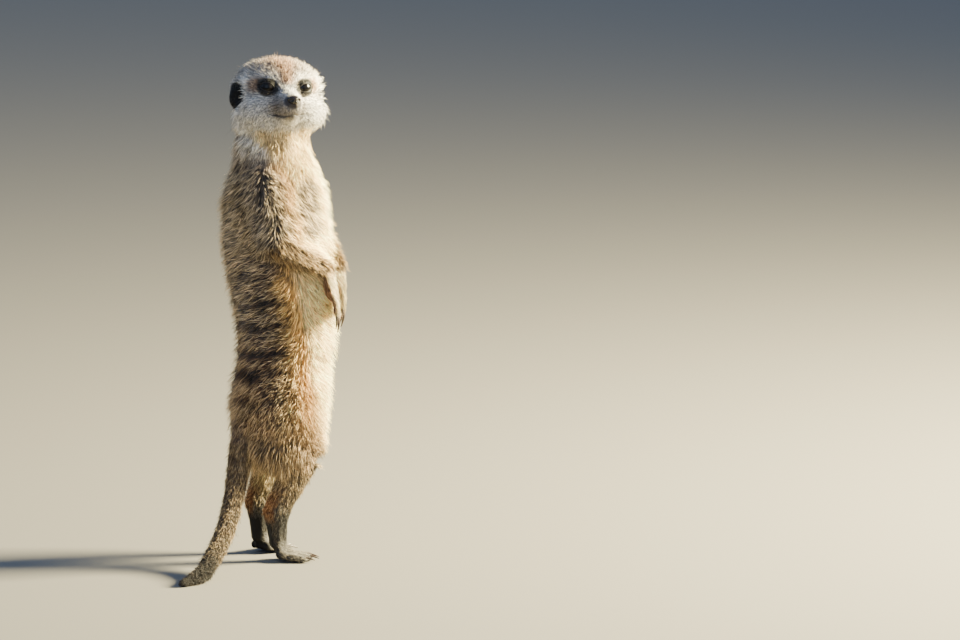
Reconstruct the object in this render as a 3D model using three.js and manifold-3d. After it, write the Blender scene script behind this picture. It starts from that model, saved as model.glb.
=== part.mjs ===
// A meerkat standing upright on its hind toes, propped by its tail, looking over its right side.
// A still, life-size figure of an adult.  Millimetres, +Z up, hips facing +X, the animal's left on +Y.
// The solids give the outer form of the coat.  The origin is on the floor, under the middle of the figure.
import * as THREE from "three";
import { mergeVertices } from "three/addons/utils/BufferGeometryUtils.js";
import Module from "manifold-3d";

const wasm = await Module();
wasm.setup();

// ---------------------------------------------------------------- driving sizes

const GAP = 0.35; // clearance left wherever two nodes meet
const FOOT_SPREAD = 17.2; // from the middle line to each hind foot
const TOE_OUT = THREE.MathUtils.degToRad(20); // each hind foot turns out by this
const HEAD_TURN = THREE.MathUtils.degToRad(-96); // the head looks over the right shoulder
const HEAD_LIFT = THREE.MathUtils.degToRad(10); // a little upwards
const HEAD_LEAN = THREE.MathUtils.degToRad(-2.6); // with its left side lower
const EYE_LEVEL = 314.1; // height of the eyes above the floor
const KNEE_CUT = 66;
const ANKLE_CUT = 32;
const RUMP_CUT = 121;
const CHEST_CUT = 186;
const NECK_CUT = 262;
const HEAD_CUT = 286;

// Sections of the trunk and neck, from the crotch up: height, place along X, half depth from back to
// belly, half width from flank to flank, and how far the section is turned to the animal's right.
const TRUNK = [
  { at: "crotch", z: 66, x: 11, depth: 17, width: 15, turn: 0 },
  { at: "seat", z: 79, x: 11.5, depth: 27, width: 22, turn: 0 },
  { at: "hips", z: 103, x: 11, depth: 32.5, width: 27.5, turn: 0 },
  { at: "loins", z: 128, x: 12.8, depth: 31.6, width: 26.8, turn: 4 },
  { at: "waist", z: 147, x: 15.4, depth: 32, width: 27, turn: 8 },
  { at: "belly", z: 172, x: 12.8, depth: 33, width: 27.8, turn: 14 },
  { at: "ribs", z: 200, x: 9.4, depth: 34.5, width: 28, turn: 20 },
  { at: "chest", z: 222, x: 8, depth: 35, width: 29, turn: 24 },
  { at: "shoulders", z: 241, x: 7, depth: 34, width: 29, turn: 28 },
  { at: "collar", z: 258, x: 7, depth: 29.5, width: 26.5, turn: 34 },
  { at: "neck", z: 272, x: 6.2, depth: 25, width: 24, turn: 50 },
  { at: "nape", z: 300, x: 7, depth: 25, width: 24, turn: 80 },
];

// Joints and radii of the right and left limbs.
const LEG = {
  hip: [4, 15, 104],
  knee: [22.4, 19, 76],
  ankle: [0.9, FOOT_SPREAD, 33],
  ball: [2.6, FOOT_SPREAD, 6.4],
  haunch: { middle: [7.4, 16.5, 92], size: [25.5, 14, 27] },
  radius: { hip: 19, knee: 13.2, shin: 12.6, ankle: 7.8, ball: 6.3 },
};
const ARM_RADIUS = { shoulder: 14, elbow: 11, forearm: 9.4, wrist: 6.6 };
const RIGHT_ARM = {
  shoulder: [-5, -16, 248],
  elbow: [-1, -27, 211],
  wrist: [31.6, -26.8, 194],
  knuckles: [36, -28.6, 178],
};
const LEFT_ARM = {
  shoulder: [14, 14, 245],
  elbow: [38, 12.5, 214],
  wrist: [44.2, -14.8, 195.5],
  knuckles: [46.4, -16.6, 180],
};
const FINGER = { count: 4, length: 16.5, radius: 2.2, spacing: 3.7, claw: 10 };
const TOE = { count: 4, length: 17, radius: 2.9, spacing: 4.6, claw: 7.5 };

// The tail leaves the rump, drops, and swings to the right until its last third lies on the floor.
const TAIL = [
  { at: [-8, -1, 102], radius: 11 },
  { at: [-14.8, -3, 84], radius: 10 },
  { at: [-21.4, -9, 66], radius: 8.2 },
  { at: [-28.2, -17.4, 47], radius: 6.9 },
  { at: [-36, -27.4, 31], radius: 6.6 },
  { at: [-47.5, -41.6, 18], radius: 6.4 },
  { at: [-61.2, -59.1, 9], radius: 5.8 },
  { at: [-74, -75.5, 4.6], radius: 5 },
  { at: [-88.5, -86, 2.7], radius: 3.1 },
];

// The head, in its own frame: origin midway between the eyeballs, +X to the nose, +Y to its left.
const EYE = { side: 11.5, radius: 5.5, outward: THREE.MathUtils.degToRad(16) };
const EAR = {
  at: [-25, 25.8, -4.4],
  length: 13.5,
  height: 19,
  depth: 4.8,
  forward: THREE.MathUtils.degToRad(46),
};
const NOSE = { at: [23.2, 0, -10], size: [3.2, 4.8, 3.1] };
const MUZZLE_CUT = 7;
const SKULL = [
  { form: "cranium", at: [-25, 0, -1], size: [25, 31, 22] },
  { form: "forehead", at: [-8.5, 0, 3.4], size: [14.5, 20, 14] },
  { form: "right cheek", at: [-14, -13.5, -15.4], size: [18, 17.4, 14] },
  { form: "left cheek", at: [-14, 13.5, -15.4], size: [18, 17.4, 14] },
  { form: "nape", at: [-31, 0, -17], size: [17.5, 23, 20] },
];
const MUZZLE = { from: [-2, 0, -10], to: [17.6, 0, -12], thick: 11.4, tip: 7.2 };
const JAW = { from: [-10, 0, -18.5], to: [13.4, 0, -18.4], thick: 11, tip: 4.6 };

const vec = (p) => new THREE.Vector3(...p);

// ---------------------------------------------------------------- fields: negative inside

const length3 = (x, y, z) => Math.sqrt(x * x + y * y + z * z);

function ellipsoid({ at: [cx, cy, cz], size: [a, b, c] }) {
  return (x, y, z) => {
    const [u, v, w] = [x - cx, y - cy, z - cz];
    const near = length3(u / a, v / b, w / c);
    const slope = length3(u / a ** 2, v / b ** 2, w / c ** 2);
    return slope > 1e-9 ? (near * (near - 1)) / slope : -Math.min(a, b, c);
  };
}

// A limb between two joints, tapering from one radius to the other.
function limb(from, to, thick, thin) {
  const [a, axis] = [vec(from), vec(to).sub(vec(from))];
  const span = axis.lengthSq();
  return (x, y, z) => {
    const [u, v, w] = [x - a.x, y - a.y, z - a.z];
    const along = (u * axis.x + v * axis.y + w * axis.z) / span;
    const t = THREE.MathUtils.clamp(along, 0, 1);
    return length3(u - t * axis.x, v - t * axis.y, w - t * axis.z) - thick - t * (thin - thick);
  };
}

// Two fields joined with a fillet of about this radius.
function soften(a, b, fillet) {
  const share = Math.max(fillet - Math.abs(a - b), 0) / fillet;
  return Math.min(a, b) - (share * share * fillet) / 4;
}

function blend(fields, fillet) {
  return (x, y, z) => fields.reduce((d, f) => soften(d, f(x, y, z), fillet), 1e3);
}

// The value of one named size of the trunk at a height, on a smooth curve through the sections.
function trunkSize(name, z) {
  const last = TRUNK.length - 1;
  const i = THREE.MathUtils.clamp(TRUNK.findIndex((s) => s.z > z) - 1, 0, last - 1);
  const top = z >= TRUNK[last].z ? last - 1 : i;
  const at = (k) => TRUNK[THREE.MathUtils.clamp(k, 0, last)];
  const slope = (k) => (at(k + 1)[name] - at(k - 1)[name]) / (at(k + 1).z - at(k - 1).z);
  const rise = at(top + 1).z - at(top).z;
  const t = THREE.MathUtils.clamp((z - at(top).z) / rise, 0, 1);
  const [t2, t3] = [t * t, t * t * t];
  return (
    (2 * t3 - 3 * t2 + 1) * at(top)[name] +
    (t3 - 2 * t2 + t) * rise * slope(top) +
    (3 * t2 - 2 * t3) * at(top + 1)[name] +
    (t3 - t2) * rise * slope(top + 1)
  );
}

function trunk(x, y, z) {
  const turn = -THREE.MathUtils.degToRad(trunkSize("turn", z));
  const [depth, width] = [trunkSize("depth", z), trunkSize("width", z)];
  const u = x - trunkSize("x", z);
  const forward = u * Math.cos(turn) + y * Math.sin(turn);
  const side = y * Math.cos(turn) - u * Math.sin(turn);
  const around = ellipsoid({ at: [0, 0, 0], size: [depth, width, 1e4] })(forward, side, 0);
  return Math.max(around, TRUNK[0].z - z, z - TRUNK.at(-1).z);
}

const mirrored = ([x, y, z], side) => [x, side * y, z];

function hindLeg(side) {
  const r = LEG.radius;
  const at = (name) => mirrored(LEG[name], side);
  const haunch = { at: mirrored(LEG.haunch.middle, side), size: LEG.haunch.size };
  return blend(
    [
      ellipsoid(haunch),
      limb(at("hip"), at("knee"), r.hip, r.knee),
      limb(at("knee"), at("ankle"), r.shin, r.ankle),
      limb(at("ankle"), at("ball"), r.ankle, r.ball),
    ],
    6,
  );
}

const upperArm = (arm) =>
  limb(arm.shoulder, arm.elbow, ARM_RADIUS.shoulder, ARM_RADIUS.elbow);

// The head's own frame placed on the neck.
const headFrame = new THREE.Matrix4()
  .makeRotationFromEuler(new THREE.Euler(HEAD_LEAN, -HEAD_LIFT, HEAD_TURN, "ZYX"))
  .setPosition(4.3, -27.7, EYE_LEVEL);
const toHead = headFrame.clone().invert();

const eyeAt = (side) => [0, side * EYE.side, 0];
const gaze = (side) => [Math.cos(EYE.outward), side * Math.sin(EYE.outward), 0.08];

function skull() {
  const form = blend(
    [
      ...SKULL.map(ellipsoid),
      limb(MUZZLE.from, MUZZLE.to, MUZZLE.thick, MUZZLE.tip),
      limb(JAW.from, JAW.to, JAW.thick, JAW.tip),
    ],
    6,
  );
  const dishes = [-1, 1].flatMap((side) => {
    const front = vec(eyeAt(side)).addScaledVector(vec(gaze(side)), 7);
    const [along, out, up] = EAR.at;
    const open = { at: [along + 7, side * (out + 4.4), up], size: [9, 8.8, 11] };
    return [ellipsoid({ at: front.toArray(), size: [6.2, 6.2, 5.6] }), ellipsoid(open)];
  });
  const point = new THREE.Vector3();
  return (x, y, z) => {
    const { x: u, y: v, z: w } = point.set(x, y, z).applyMatrix4(toHead);
    return dishes.reduce((d, dish) => -soften(-d, dish(u, v, w), 3), form(u, v, w));
  };
}

const body = blend(
  [trunk, hindLeg(-1), hindLeg(1), upperArm(RIGHT_ARM), upperArm(LEFT_ARM)],
  9,
);
const headField = skull();
const whole = (x, y, z) => soften(body(x, y, z), headField(x, y, z), 9);

// ---------------------------------------------------------------- from a field to a closed mesh

// Surface nets: one vertex in each cell that the surface crosses, moved onto the surface.
function surface(field, low, high, cell) {
  const steps = low.map((v, i) => Math.ceil((high[i] - v) / cell[i]) + 1);
  const [nx, ny, nz] = steps;
  const index = (i, j, k) => i + nx * (j + ny * k);
  const place = (i, j, k) => [low[0] + i * cell[0], low[1] + j * cell[1], low[2] + k * cell[2]];
  const closed = (x, y, z) => {
    const box = [x, y, z].map((v, i) => Math.max(low[i] + cell[i] - v, v - high[i] + cell[i]));
    return Math.max(field(x, y, z), ...box);
  };
  const values = new Float32Array(nx * ny * nz);
  const each = (ends, visit) => {
    for (let k = 0; k < ends[2]; k++)
      for (let j = 0; j < ends[1]; j++) for (let i = 0; i < ends[0]; i++) visit(i, j, k);
  };
  each(steps, (i, j, k) => (values[index(i, j, k)] = closed(...place(i, j, k))));

  const corners = [...Array(8)].map((_, c) => [c & 1, (c >> 1) & 1, (c >> 2) & 1]);
  const edges = corners.flatMap((p, a) =>
    corners.flatMap((q, b) => (a < b && p.filter((v, i) => v !== q[i]).length === 1 ? [[a, b]] : [])),
  );
  const vertexOf = new Map();
  const positions = [];
  each(steps.map((n) => n - 1), (i, j, k) => {
    const at = corners.map(([a, b, c]) => values[index(i + a, j + b, k + c)]);
    const crossings = edges.filter(([a, b]) => at[a] < 0 !== at[b] < 0);
    if (!crossings.length) return;
    const middle = new THREE.Vector3();
    for (const [a, b] of crossings) {
      const t = at[a] / (at[a] - at[b]);
      middle.add(vec(corners[a]).lerp(vec(corners[b]), t));
    }
    middle.divideScalar(crossings.length);
    vertexOf.set(index(i, j, k), positions.length / 3);
    positions.push(...place(i + middle.x, j + middle.y, k + middle.z));
  });
  for (let v = 0; v < positions.length; v += 3) settle(closed, positions, v, Math.min(...cell) / 3);

  const triangles = [];
  each(steps.map((n) => n - 1), (i, j, k) => {
    const here = values[index(i, j, k)];
    [[1, 0, 0], [0, 1, 0], [0, 0, 1]].forEach((way, axis) => {
      if (here < 0 === values[index(i + way[0], j + way[1], k + way[2])] < 0) return;
      const [p, q] = [[0, 0, 0], [0, 0, 0]];
      p[(axis + 1) % 3] = 1;
      q[(axis + 2) % 3] = 1;
      const quad = [[0, 0], [1, 0], [1, 1], [0, 1]].map(([s, t]) =>
        vertexOf.get(index(i - s * p[0] - t * q[0], j - s * p[1] - t * q[1], k - s * p[2] - t * q[2])),
      );
      const [a, b, c, d] = here < 0 ? quad : quad.reverse();
      triangles.push(a, b, c, a, c, d);
    });
  });
  return new THREE.BufferGeometry()
    .setAttribute("position", new THREE.Float32BufferAttribute(positions, 3))
    .setIndex(triangles);
}

// Moves one vertex along the field's slope onto the surface, by no more than the given reach.
function settle(field, positions, v, reach) {
  const start = positions.slice(v, v + 3);
  const step = 0.05;
  for (let turn = 0; turn < 3; turn++) {
    const [x, y, z] = positions.slice(v, v + 3);
    const d = field(x, y, z);
    const slope = new THREE.Vector3(
      field(x + step, y, z) - d,
      field(x, y + step, z) - d,
      field(x, y, z + step) - d,
    ).divideScalar(step);
    const move = slope.multiplyScalar(-d / Math.max(slope.lengthSq(), 0.1));
    const moved = new THREE.Vector3(x, y, z).add(move).sub(vec(start)).clampLength(0, reach);
    positions.splice(v, 3, start[0] + moved.x, start[1] + moved.y, start[2] + moved.z);
  }
}

// ---------------------------------------------------------------- solids, cuts and sweeps

function solid(geometry) {
  const bare = geometry.clone();
  for (const name of Object.keys(bare.attributes)) if (name !== "position") bare.deleteAttribute(name);
  const merged = mergeVertices(bare, 1e-4);
  return new wasm.Manifold(
    new wasm.Mesh({
      numProp: 3,
      vertProperties: merged.attributes.position.array,
      triVerts: new Uint32Array(merged.index.array),
    }),
  );
}

function geometryOf(shape) {
  const mesh = shape.getMesh();
  return new THREE.BufferGeometry()
    .setAttribute("position", new THREE.BufferAttribute(mesh.vertProperties, 3))
    .setIndex(new THREE.BufferAttribute(mesh.triVerts, 1));
}

// A big block: everything between two heights.
function layer(bottom, top) {
  const block = new THREE.BoxGeometry(600, 600, top - bottom);
  return solid(block.translate(0, 0, (bottom + top) / 2));
}

const between = (shape, bottom, top) => shape.intersect(layer(bottom, top));
const largest = (shape) => shape.decompose().reduce((a, b) => (a.volume() > b.volume() ? a : b));

// Parts from a shape what lies inside another, leaving the gap around it.
function part(shape, inside) {
  return { piece: largest(shape.intersect(inside(0))), rest: shape.subtract(inside(GAP)) };
}

// A round tapering sweep through points, with domed ends.  Each ring is a circle, flattened by `flat`
// across the direction `level`.
function sweep(stations, { sides = 8, rings = 10, more = 0, flat = 1, level = [0, 0, 1] } = {}) {
  const curve = new THREE.CatmullRomCurve3(stations.map((s) => vec(s.at)), false, "centripetal");
  const radiusAt = (t) => {
    const s = t * (stations.length - 1);
    const i = Math.min(Math.floor(s), stations.length - 2);
    return THREE.MathUtils.lerp(stations[i].radius, stations[i + 1].radius, s - i) + more;
  };
  const positions = [];
  const tip = (t, sign) => {
    const out = curve.getTangent(t).multiplyScalar(sign * radiusAt(t));
    positions.push(...curve.getPoint(t).add(out).toArray());
  };
  tip(0, -1);
  const ring = (t, out, share) => {
    const along = curve.getTangent(t);
    const side = new THREE.Vector3().crossVectors(vec(level), along).normalize();
    const up = new THREE.Vector3().crossVectors(along, side);
    const middle = curve.getPoint(t).addScaledVector(along, out);
    for (let n = 0; n < sides; n++) {
      const angle = (2 * Math.PI * n) / sides;
      const r = radiusAt(t) * share;
      const point = middle
        .clone()
        .addScaledVector(side, r * Math.cos(angle))
        .addScaledVector(up, r * flat * Math.sin(angle));
      positions.push(...point.toArray());
    }
  };
  ring(0, -0.6 * radiusAt(0), 0.8);
  for (let n = 0; n <= rings; n++) ring(n / rings, 0, 1);
  ring(1, 0.6 * radiusAt(1), 0.8);
  tip(1, 1);
  const end = positions.length / 3 - 1;
  const triangles = [];
  for (let n = 0; n < sides; n++) {
    const next = (n + 1) % sides;
    triangles.push(0, 1 + next, 1 + n);
    triangles.push(end, end - sides + n, end - sides + next);
    for (let row = 0; row < rings + 2; row++) {
      const [a, b] = [1 + row * sides, 1 + (row + 1) * sides];
      triangles.push(a + n, a + next, b + n, a + next, b + next, b + n);
    }
  }
  return new THREE.BufferGeometry()
    .setAttribute("position", new THREE.Float32BufferAttribute(positions, 3))
    .setIndex(triangles);
}

// A claw: a short sweep that starts inside the toe, bends towards `down` and narrows to a blunt point.
function claw(root, ahead, down, size, more = 0) {
  const at = (along, drop) =>
    root.clone().addScaledVector(ahead, along * size).addScaledVector(down, drop * size).toArray();
  const thick = 0.1 * size + 0.25;
  return sweep(
    [
      { at: at(-0.18, -0.03), radius: thick },
      { at: at(0.4, 0.03), radius: thick },
      { at: at(0.95, 0.3), radius: 0.42 },
    ],
    { sides: 5, rings: 2, more, level: down.clone().negate().toArray() },
  );
}

// ---------------------------------------------------------------- hands and feet

// Digits in a fan: each has a root, a direction and its place in the row from -1 to 1.
function fan(count, root, ahead, across, spacing, spread) {
  return [...Array(count)].map((_, n) => {
    const place = (2 * n) / (count - 1) - 1;
    const offset = (place * spacing * (count - 1)) / 2;
    const shorter = Math.abs(place) > 0.9 ? 0.84 : 1;
    return {
      root: root.clone().addScaledVector(across, offset),
      way: ahead.clone().addScaledVector(across, place * spread).normalize(),
      shorter,
    };
  });
}

function hand(arm, palmFacing) {
  const [wrist, knuckles] = [vec(arm.wrist), vec(arm.knuckles)];
  const hang = knuckles.clone().sub(wrist).normalize();
  const palm = palmFacing.clone().addScaledVector(hang, -palmFacing.dot(hang)).normalize();
  const across = new THREE.Vector3().crossVectors(hang, palm);
  const palmSolid = (more) =>
    solid(
      sweep(
        [
          { at: wrist.clone().addScaledVector(hang, 2).toArray(), radius: 6.2 },
          { at: wrist.clone().lerp(knuckles, 0.55).toArray(), radius: 7.2 },
          { at: knuckles.clone().addScaledVector(hang, -1).toArray(), radius: 7 },
        ],
        { sides: 6, rings: 2, flat: 0.7, more, level: palm.clone().negate().toArray() },
      ),
    );
  const row = fan(FINGER.count, knuckles.clone(), hang, across, FINGER.spacing, 0.1);
  const fingers = row.map(({ root, way, shorter }) => {
    const reach = FINGER.length * shorter;
    const joint = root.clone().addScaledVector(way, reach * 0.5).addScaledVector(palm, -0.9);
    const tip = root.clone().addScaledVector(way, reach).addScaledVector(palm, 0.6);
    const stations = (more) =>
      sweep(
        [
          { at: root.clone().addScaledVector(way, -3).toArray(), radius: FINGER.radius },
          { at: joint.toArray(), radius: FINGER.radius },
          { at: tip.toArray(), radius: FINGER.radius * 0.82 },
        ],
        { sides: 5, rings: 2, more, level: palm.clone().negate().toArray() },
      );
    return {
      finger: (more) => solid(stations(more)),
      claw: (more) => solid(claw(tip, way, palm, FINGER.claw * (0.7 + 0.3 * shorter), more)),
    };
  });
  const whole = (more) => fingers.reduce((s, f) => s.add(f.finger(more)), palmSolid(more));
  return { whole, claws: fingers.map((f) => f.claw) };
}

function toes(side) {
  const turn = side * TOE_OUT;
  const ahead = new THREE.Vector3(Math.cos(turn), Math.sin(turn), 0);
  const across = new THREE.Vector3(-Math.sin(turn), Math.cos(turn), 0);
  const down = new THREE.Vector3(0, 0, -1);
  const ball = vec(mirrored(LEG.ball, side));
  const row = fan(TOE.count, ball.clone().addScaledVector(ahead, 2), ahead, across, TOE.spacing, 0.16);
  const made = row.map(({ root, way, shorter }) => {
    const reach = TOE.length * shorter;
    const at = (along, height) =>
      new THREE.Vector3(root.x, root.y, height).addScaledVector(way, along * reach);
    const stations = [
      { at: at(-0.1, 5.2).toArray(), radius: TOE.radius * 1.15 },
      { at: at(0.45, 4.4).toArray(), radius: TOE.radius },
      { at: at(1, 2.6).toArray(), radius: TOE.radius * 0.95 },
    ];
    const tilted = way.clone().addScaledVector(down, -0.1).normalize();
    return {
      toe: solid(sweep(stations, { sides: 5, rings: 1 })),
      claw: (more) => solid(claw(at(1.02, 3.6), tilted, down, TOE.claw, more)),
    };
  });
  return { whole: made.map((m) => m.toe).reduce((a, b) => a.add(b)), claws: made.map((m) => m.claw) };
}

// ---------------------------------------------------------------- finishes

const coat = (color) => new THREE.MeshStandardMaterial({ color, roughness: 0.9, metalness: 0 });
const FINISH = {
  grizzled: coat("#8f7458"),
  rump: coat("#7d6248"),
  cream: coat("#d9c6a6"),
  face: coat("#cfc8bd"),
  limb: coat("#a58c6a"),
  foot: coat("#9a8a72"),
  tail: coat("#75603f"),
  tailTip: coat("#2b211a"),
  ear: coat("#141012"),
  eye: new THREE.MeshStandardMaterial({ color: "#120c0a", roughness: 0.1, metalness: 0 }),
  nose: new THREE.MeshStandardMaterial({ color: "#2a2223", roughness: 0.45, metalness: 0 }),
  claw: new THREE.MeshStandardMaterial({ color: "#2b2522", roughness: 0.4, metalness: 0 }),
};

const figure = new THREE.Group();
function add(name, shape, material) {
  const mesh = new THREE.Mesh(geometryOf(largest(shape)), material);
  mesh.name = name;
  figure.add(mesh);
}

const SIDES = { right: -1, left: 1 };
const ARMS = { right: RIGHT_ARM, left: LEFT_ARM };

// ---------------------------------------------------------------- the head

function ear(side, more = 0) {
  const { at, length, height, depth } = EAR;
  const shell = new THREE.SphereGeometry(0.5, 10, 6);
  shell.scale(length + 2 * more, depth + 2 * more, height + 2 * more);
  const hollow = new THREE.SphereGeometry(0.5, 7, 4);
  hollow.scale(length * 0.62, depth * 0.9, height * 0.66);
  hollow.translate(1.2, side * depth * 0.62, 0);
  const placed = new THREE.Matrix4()
    .makeRotationFromEuler(new THREE.Euler(side * -0.1, 0.25, -side * EAR.forward, "ZYX"))
    .setPosition(at[0], side * at[1], at[2])
    .premultiply(headFrame);
  const outer = solid(shell.applyMatrix4(placed));
  return more ? outer : outer.subtract(solid(hollow.applyMatrix4(placed)));
}

function ball(at, size, more, columns, rows) {
  const sphere = new THREE.SphereGeometry(1, columns, rows);
  sphere.rotateX(Math.PI / 2).scale(...size.map((v) => v + more));
  return solid(sphere.translate(...at).applyMatrix4(headFrame));
}

// The block in front of the muzzle's cut, in the head's own frame.
function frontOf(cut) {
  const block = new THREE.BoxGeometry(60, 90, 90).translate(cut + 30, 0, 0);
  return solid(block.applyMatrix4(headFrame));
}

function makeHead() {
  const skullNet = surface(whole, [-42, -70, 264], [56, 48, 348], [7.2, 7.2, 7.2]);
  const muzzleNet = surface(headField, [-18, -64, 280], [28, -22, 324], [4.6, 4.6, 4.6]);
  const nose = (more) => ball(NOSE.at, NOSE.size, more, 10, 6);
  let head = between(solid(skullNet), HEAD_CUT + GAP, 400).subtract(frontOf(MUZZLE_CUT));
  let muzzle = solid(muzzleNet).intersect(frontOf(MUZZLE_CUT + GAP));
  for (const [name, side] of Object.entries(SIDES)) {
    const eye = (more) => ball(eyeAt(side), [EYE.radius, EYE.radius, EYE.radius], more, 10, 6);
    head = head.subtract(ear(side, GAP)).subtract(eye(GAP));
    muzzle = muzzle.subtract(eye(GAP));
    add(`ear_${name}`, ear(side), FINISH.ear);
    add(`eye_${name}`, eye(0), FINISH.eye);
  }
  add("nose", nose(0), FINISH.nose);
  add("muzzle", muzzle.subtract(nose(GAP)), FINISH.cream);
  add("head", head, FINISH.face);
}

// ---------------------------------------------------------------- the arms

const chestTurn = THREE.MathUtils.degToRad(-24);
const backwards = new THREE.Vector3(-Math.cos(chestTurn), -Math.sin(chestTurn), 0);

// Makes one forearm, hand and claws, and returns the slightly larger shape that clears them.
function makeForearm(name) {
  const arm = ARMS[name];
  const { whole: palmAndFingers, claws } = hand(arm, backwards);
  const stations = [
    { at: vec(arm.elbow).lerp(vec(arm.wrist), 0.02).toArray(), radius: ARM_RADIUS.elbow },
    { at: vec(arm.elbow).lerp(vec(arm.wrist), 0.45).toArray(), radius: ARM_RADIUS.forearm },
    { at: arm.wrist, radius: ARM_RADIUS.wrist },
  ];
  const bare = (more) => solid(sweep(stations, { sides: 7, rings: 3, more }));
  add(`forearm_${name}`, bare(0).subtract(palmAndFingers(GAP)), FINISH.limb);
  const clawless = claws.reduce((s, make) => s.subtract(make(GAP)), palmAndFingers(0));
  add(`hand_${name}`, clawless, FINISH.cream);
  claws.forEach((make, n) => add(`hand_claw_${name}_${n + 1}`, make(0), FINISH.claw));
  return claws.reduce((s, make) => s.add(make(GAP)), bare(GAP).add(palmAndFingers(GAP)));
}

// ---------------------------------------------------------------- the trunk, legs and tail

function makeFoot(name, side) {
  const middle = side * FOOT_SPREAD;
  const net = surface(
    whole,
    [-26, Math.min(side * 1.2, side * 42), -4],
    [46, Math.max(side * 1.2, side * 42), 78],
    [6, 6, 8.4],
  );
  const { whole: digits, claws } = toes(side);
  const column = between(solid(net), 0, KNEE_CUT - GAP);
  add(`shank_${name}`, between(column, ANKLE_CUT + GAP, KNEE_CUT), FINISH.limb);
  const foot = between(between(column, 0, ANKLE_CUT).add(digits), 0, middle * side + 60);
  const clear = claws.reduce((s, make) => s.subtract(make(GAP)), foot);
  add(`foot_${name}`, clear, FINISH.foot);
  claws.forEach((make, n) => add(`foot_claw_${name}_${n + 1}`, between(make(0), 0, 20), FINISH.claw));
}

function makeTail() {
  const tube = (more) => solid(sweep(TAIL, { sides: 8, rings: 11, more }));
  const lengths = [
    ["tail_base", [-150, 44], FINISH.grizzled],
    ["tail_middle", [44, 92], FINISH.tail],
    ["tail_tip", [92, 300], FINISH.tailTip],
  ];
  const flow = vec(TAIL.at(-1).at).sub(vec(TAIL[1].at)).setZ(0).normalize();
  const start = vec(TAIL[1].at).dot(flow);
  const onFloor = between(tube(0), 0, 200);
  for (const [name, [from, to], material] of lengths) {
    const slab = new THREE.BoxGeometry(to - from - GAP, 400, 400);
    slab.translate((to + from) / 2 + start, 0, 0);
    slab.rotateZ(Math.atan2(flow.y, flow.x));
    add(name, onFloor.intersect(solid(slab)), material);
  }
  return tube(GAP);
}

// The upper arm as far as it stands out from the chest.
function shoulderAndArm(arm, more) {
  const [shoulder, elbow] = [vec(arm.shoulder), vec(arm.elbow)];
  const above = shoulder.clone().lerp(elbow, -0.1);
  const stations = [
    { at: above.toArray(), radius: ARM_RADIUS.shoulder + 1.5 },
    { at: shoulder.lerp(elbow, 0.5).toArray(), radius: ARM_RADIUS.shoulder + 1 },
    { at: elbow.toArray(), radius: ARM_RADIUS.elbow + 2.5 },
  ];
  return solid(sweep(stations, { sides: 8, rings: 2, more, level: [1, 0, 0] }));
}

// The haunch as far as it stands out from the rump.
function haunch(side, more) {
  const { middle, size } = LEG.haunch;
  const oval = new THREE.SphereGeometry(1, 10, 6);
  oval.scale(size[0] + 6 + more, size[1] + 4 + more, size[2] + 5 + more);
  return solid(oval.translate(middle[0], side * (middle[1] + 6), middle[2]));
}

function makeTrunk(cleared) {
  const net = surface(whole, [-64, -64, 50], [84, 64, 310], [13.4, 13.4, 14]);
  let core = between(solid(net), KNEE_CUT, HEAD_CUT);
  core = cleared.reduce((s, c) => s.subtract(c), core);
  for (const [name, side] of Object.entries(SIDES)) {
    const armCut = part(core, (more) => shoulderAndArm(ARMS[name], more));
    const legCut = part(armCut.rest, (more) => haunch(side, more));
    add(`upper_arm_${name}`, armCut.piece, FINISH.grizzled);
    add(`thigh_${name}`, legCut.piece, FINISH.rump);
    core = legCut.rest;
  }
  const layers = [
    ["rump", KNEE_CUT, RUMP_CUT, FINISH.rump],
    ["belly", RUMP_CUT, CHEST_CUT, FINISH.grizzled],
    ["chest", CHEST_CUT, NECK_CUT, FINISH.grizzled],
    ["neck", NECK_CUT, HEAD_CUT, FINISH.face],
  ];
  for (const [name, bottom, top, material] of layers)
    add(name, between(core, bottom + GAP / 2, top - GAP / 2), material);
}

makeHead();
const cleared = [makeForearm("right"), makeForearm("left"), makeTail()];
for (const [name, side] of Object.entries(SIDES)) makeFoot(name, side);
makeTrunk(cleared);

// The figure is set with the middle of its outline over the origin.
const outline = new THREE.Box3().setFromObject(figure);
const middle = outline.getCenter(new THREE.Vector3());
figure.position.set(-middle.x, -middle.y, -outline.min.z);

export default figure;
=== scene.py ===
"""The looks of a life-size meerkat that stands on its hind toes: skin, coat, eyes, nose and claws.

Sizes in this file are in millimetres, unless a name says otherwise, and are turned into metres when
a mesh is made.  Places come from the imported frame.
"""

import math

import bmesh
import bpy
import numpy as np
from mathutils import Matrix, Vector
from mathutils.bvhtree import BVHTree
from mathutils.kdtree import KDTree


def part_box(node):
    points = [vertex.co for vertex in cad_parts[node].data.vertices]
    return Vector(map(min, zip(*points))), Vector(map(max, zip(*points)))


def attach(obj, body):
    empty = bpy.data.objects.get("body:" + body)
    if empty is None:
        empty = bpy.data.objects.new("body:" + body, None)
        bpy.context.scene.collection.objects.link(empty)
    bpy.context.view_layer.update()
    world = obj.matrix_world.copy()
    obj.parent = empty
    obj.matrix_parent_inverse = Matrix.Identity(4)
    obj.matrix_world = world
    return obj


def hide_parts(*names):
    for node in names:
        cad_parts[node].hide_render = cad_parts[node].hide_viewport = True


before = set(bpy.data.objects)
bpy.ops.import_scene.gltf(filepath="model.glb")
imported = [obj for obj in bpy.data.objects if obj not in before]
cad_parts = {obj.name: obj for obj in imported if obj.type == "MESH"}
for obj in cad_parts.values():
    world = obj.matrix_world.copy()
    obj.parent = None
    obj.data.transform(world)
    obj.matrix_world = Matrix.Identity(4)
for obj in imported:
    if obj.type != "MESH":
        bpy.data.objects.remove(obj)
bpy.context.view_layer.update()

MM = 0.001
SEED = 7

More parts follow.
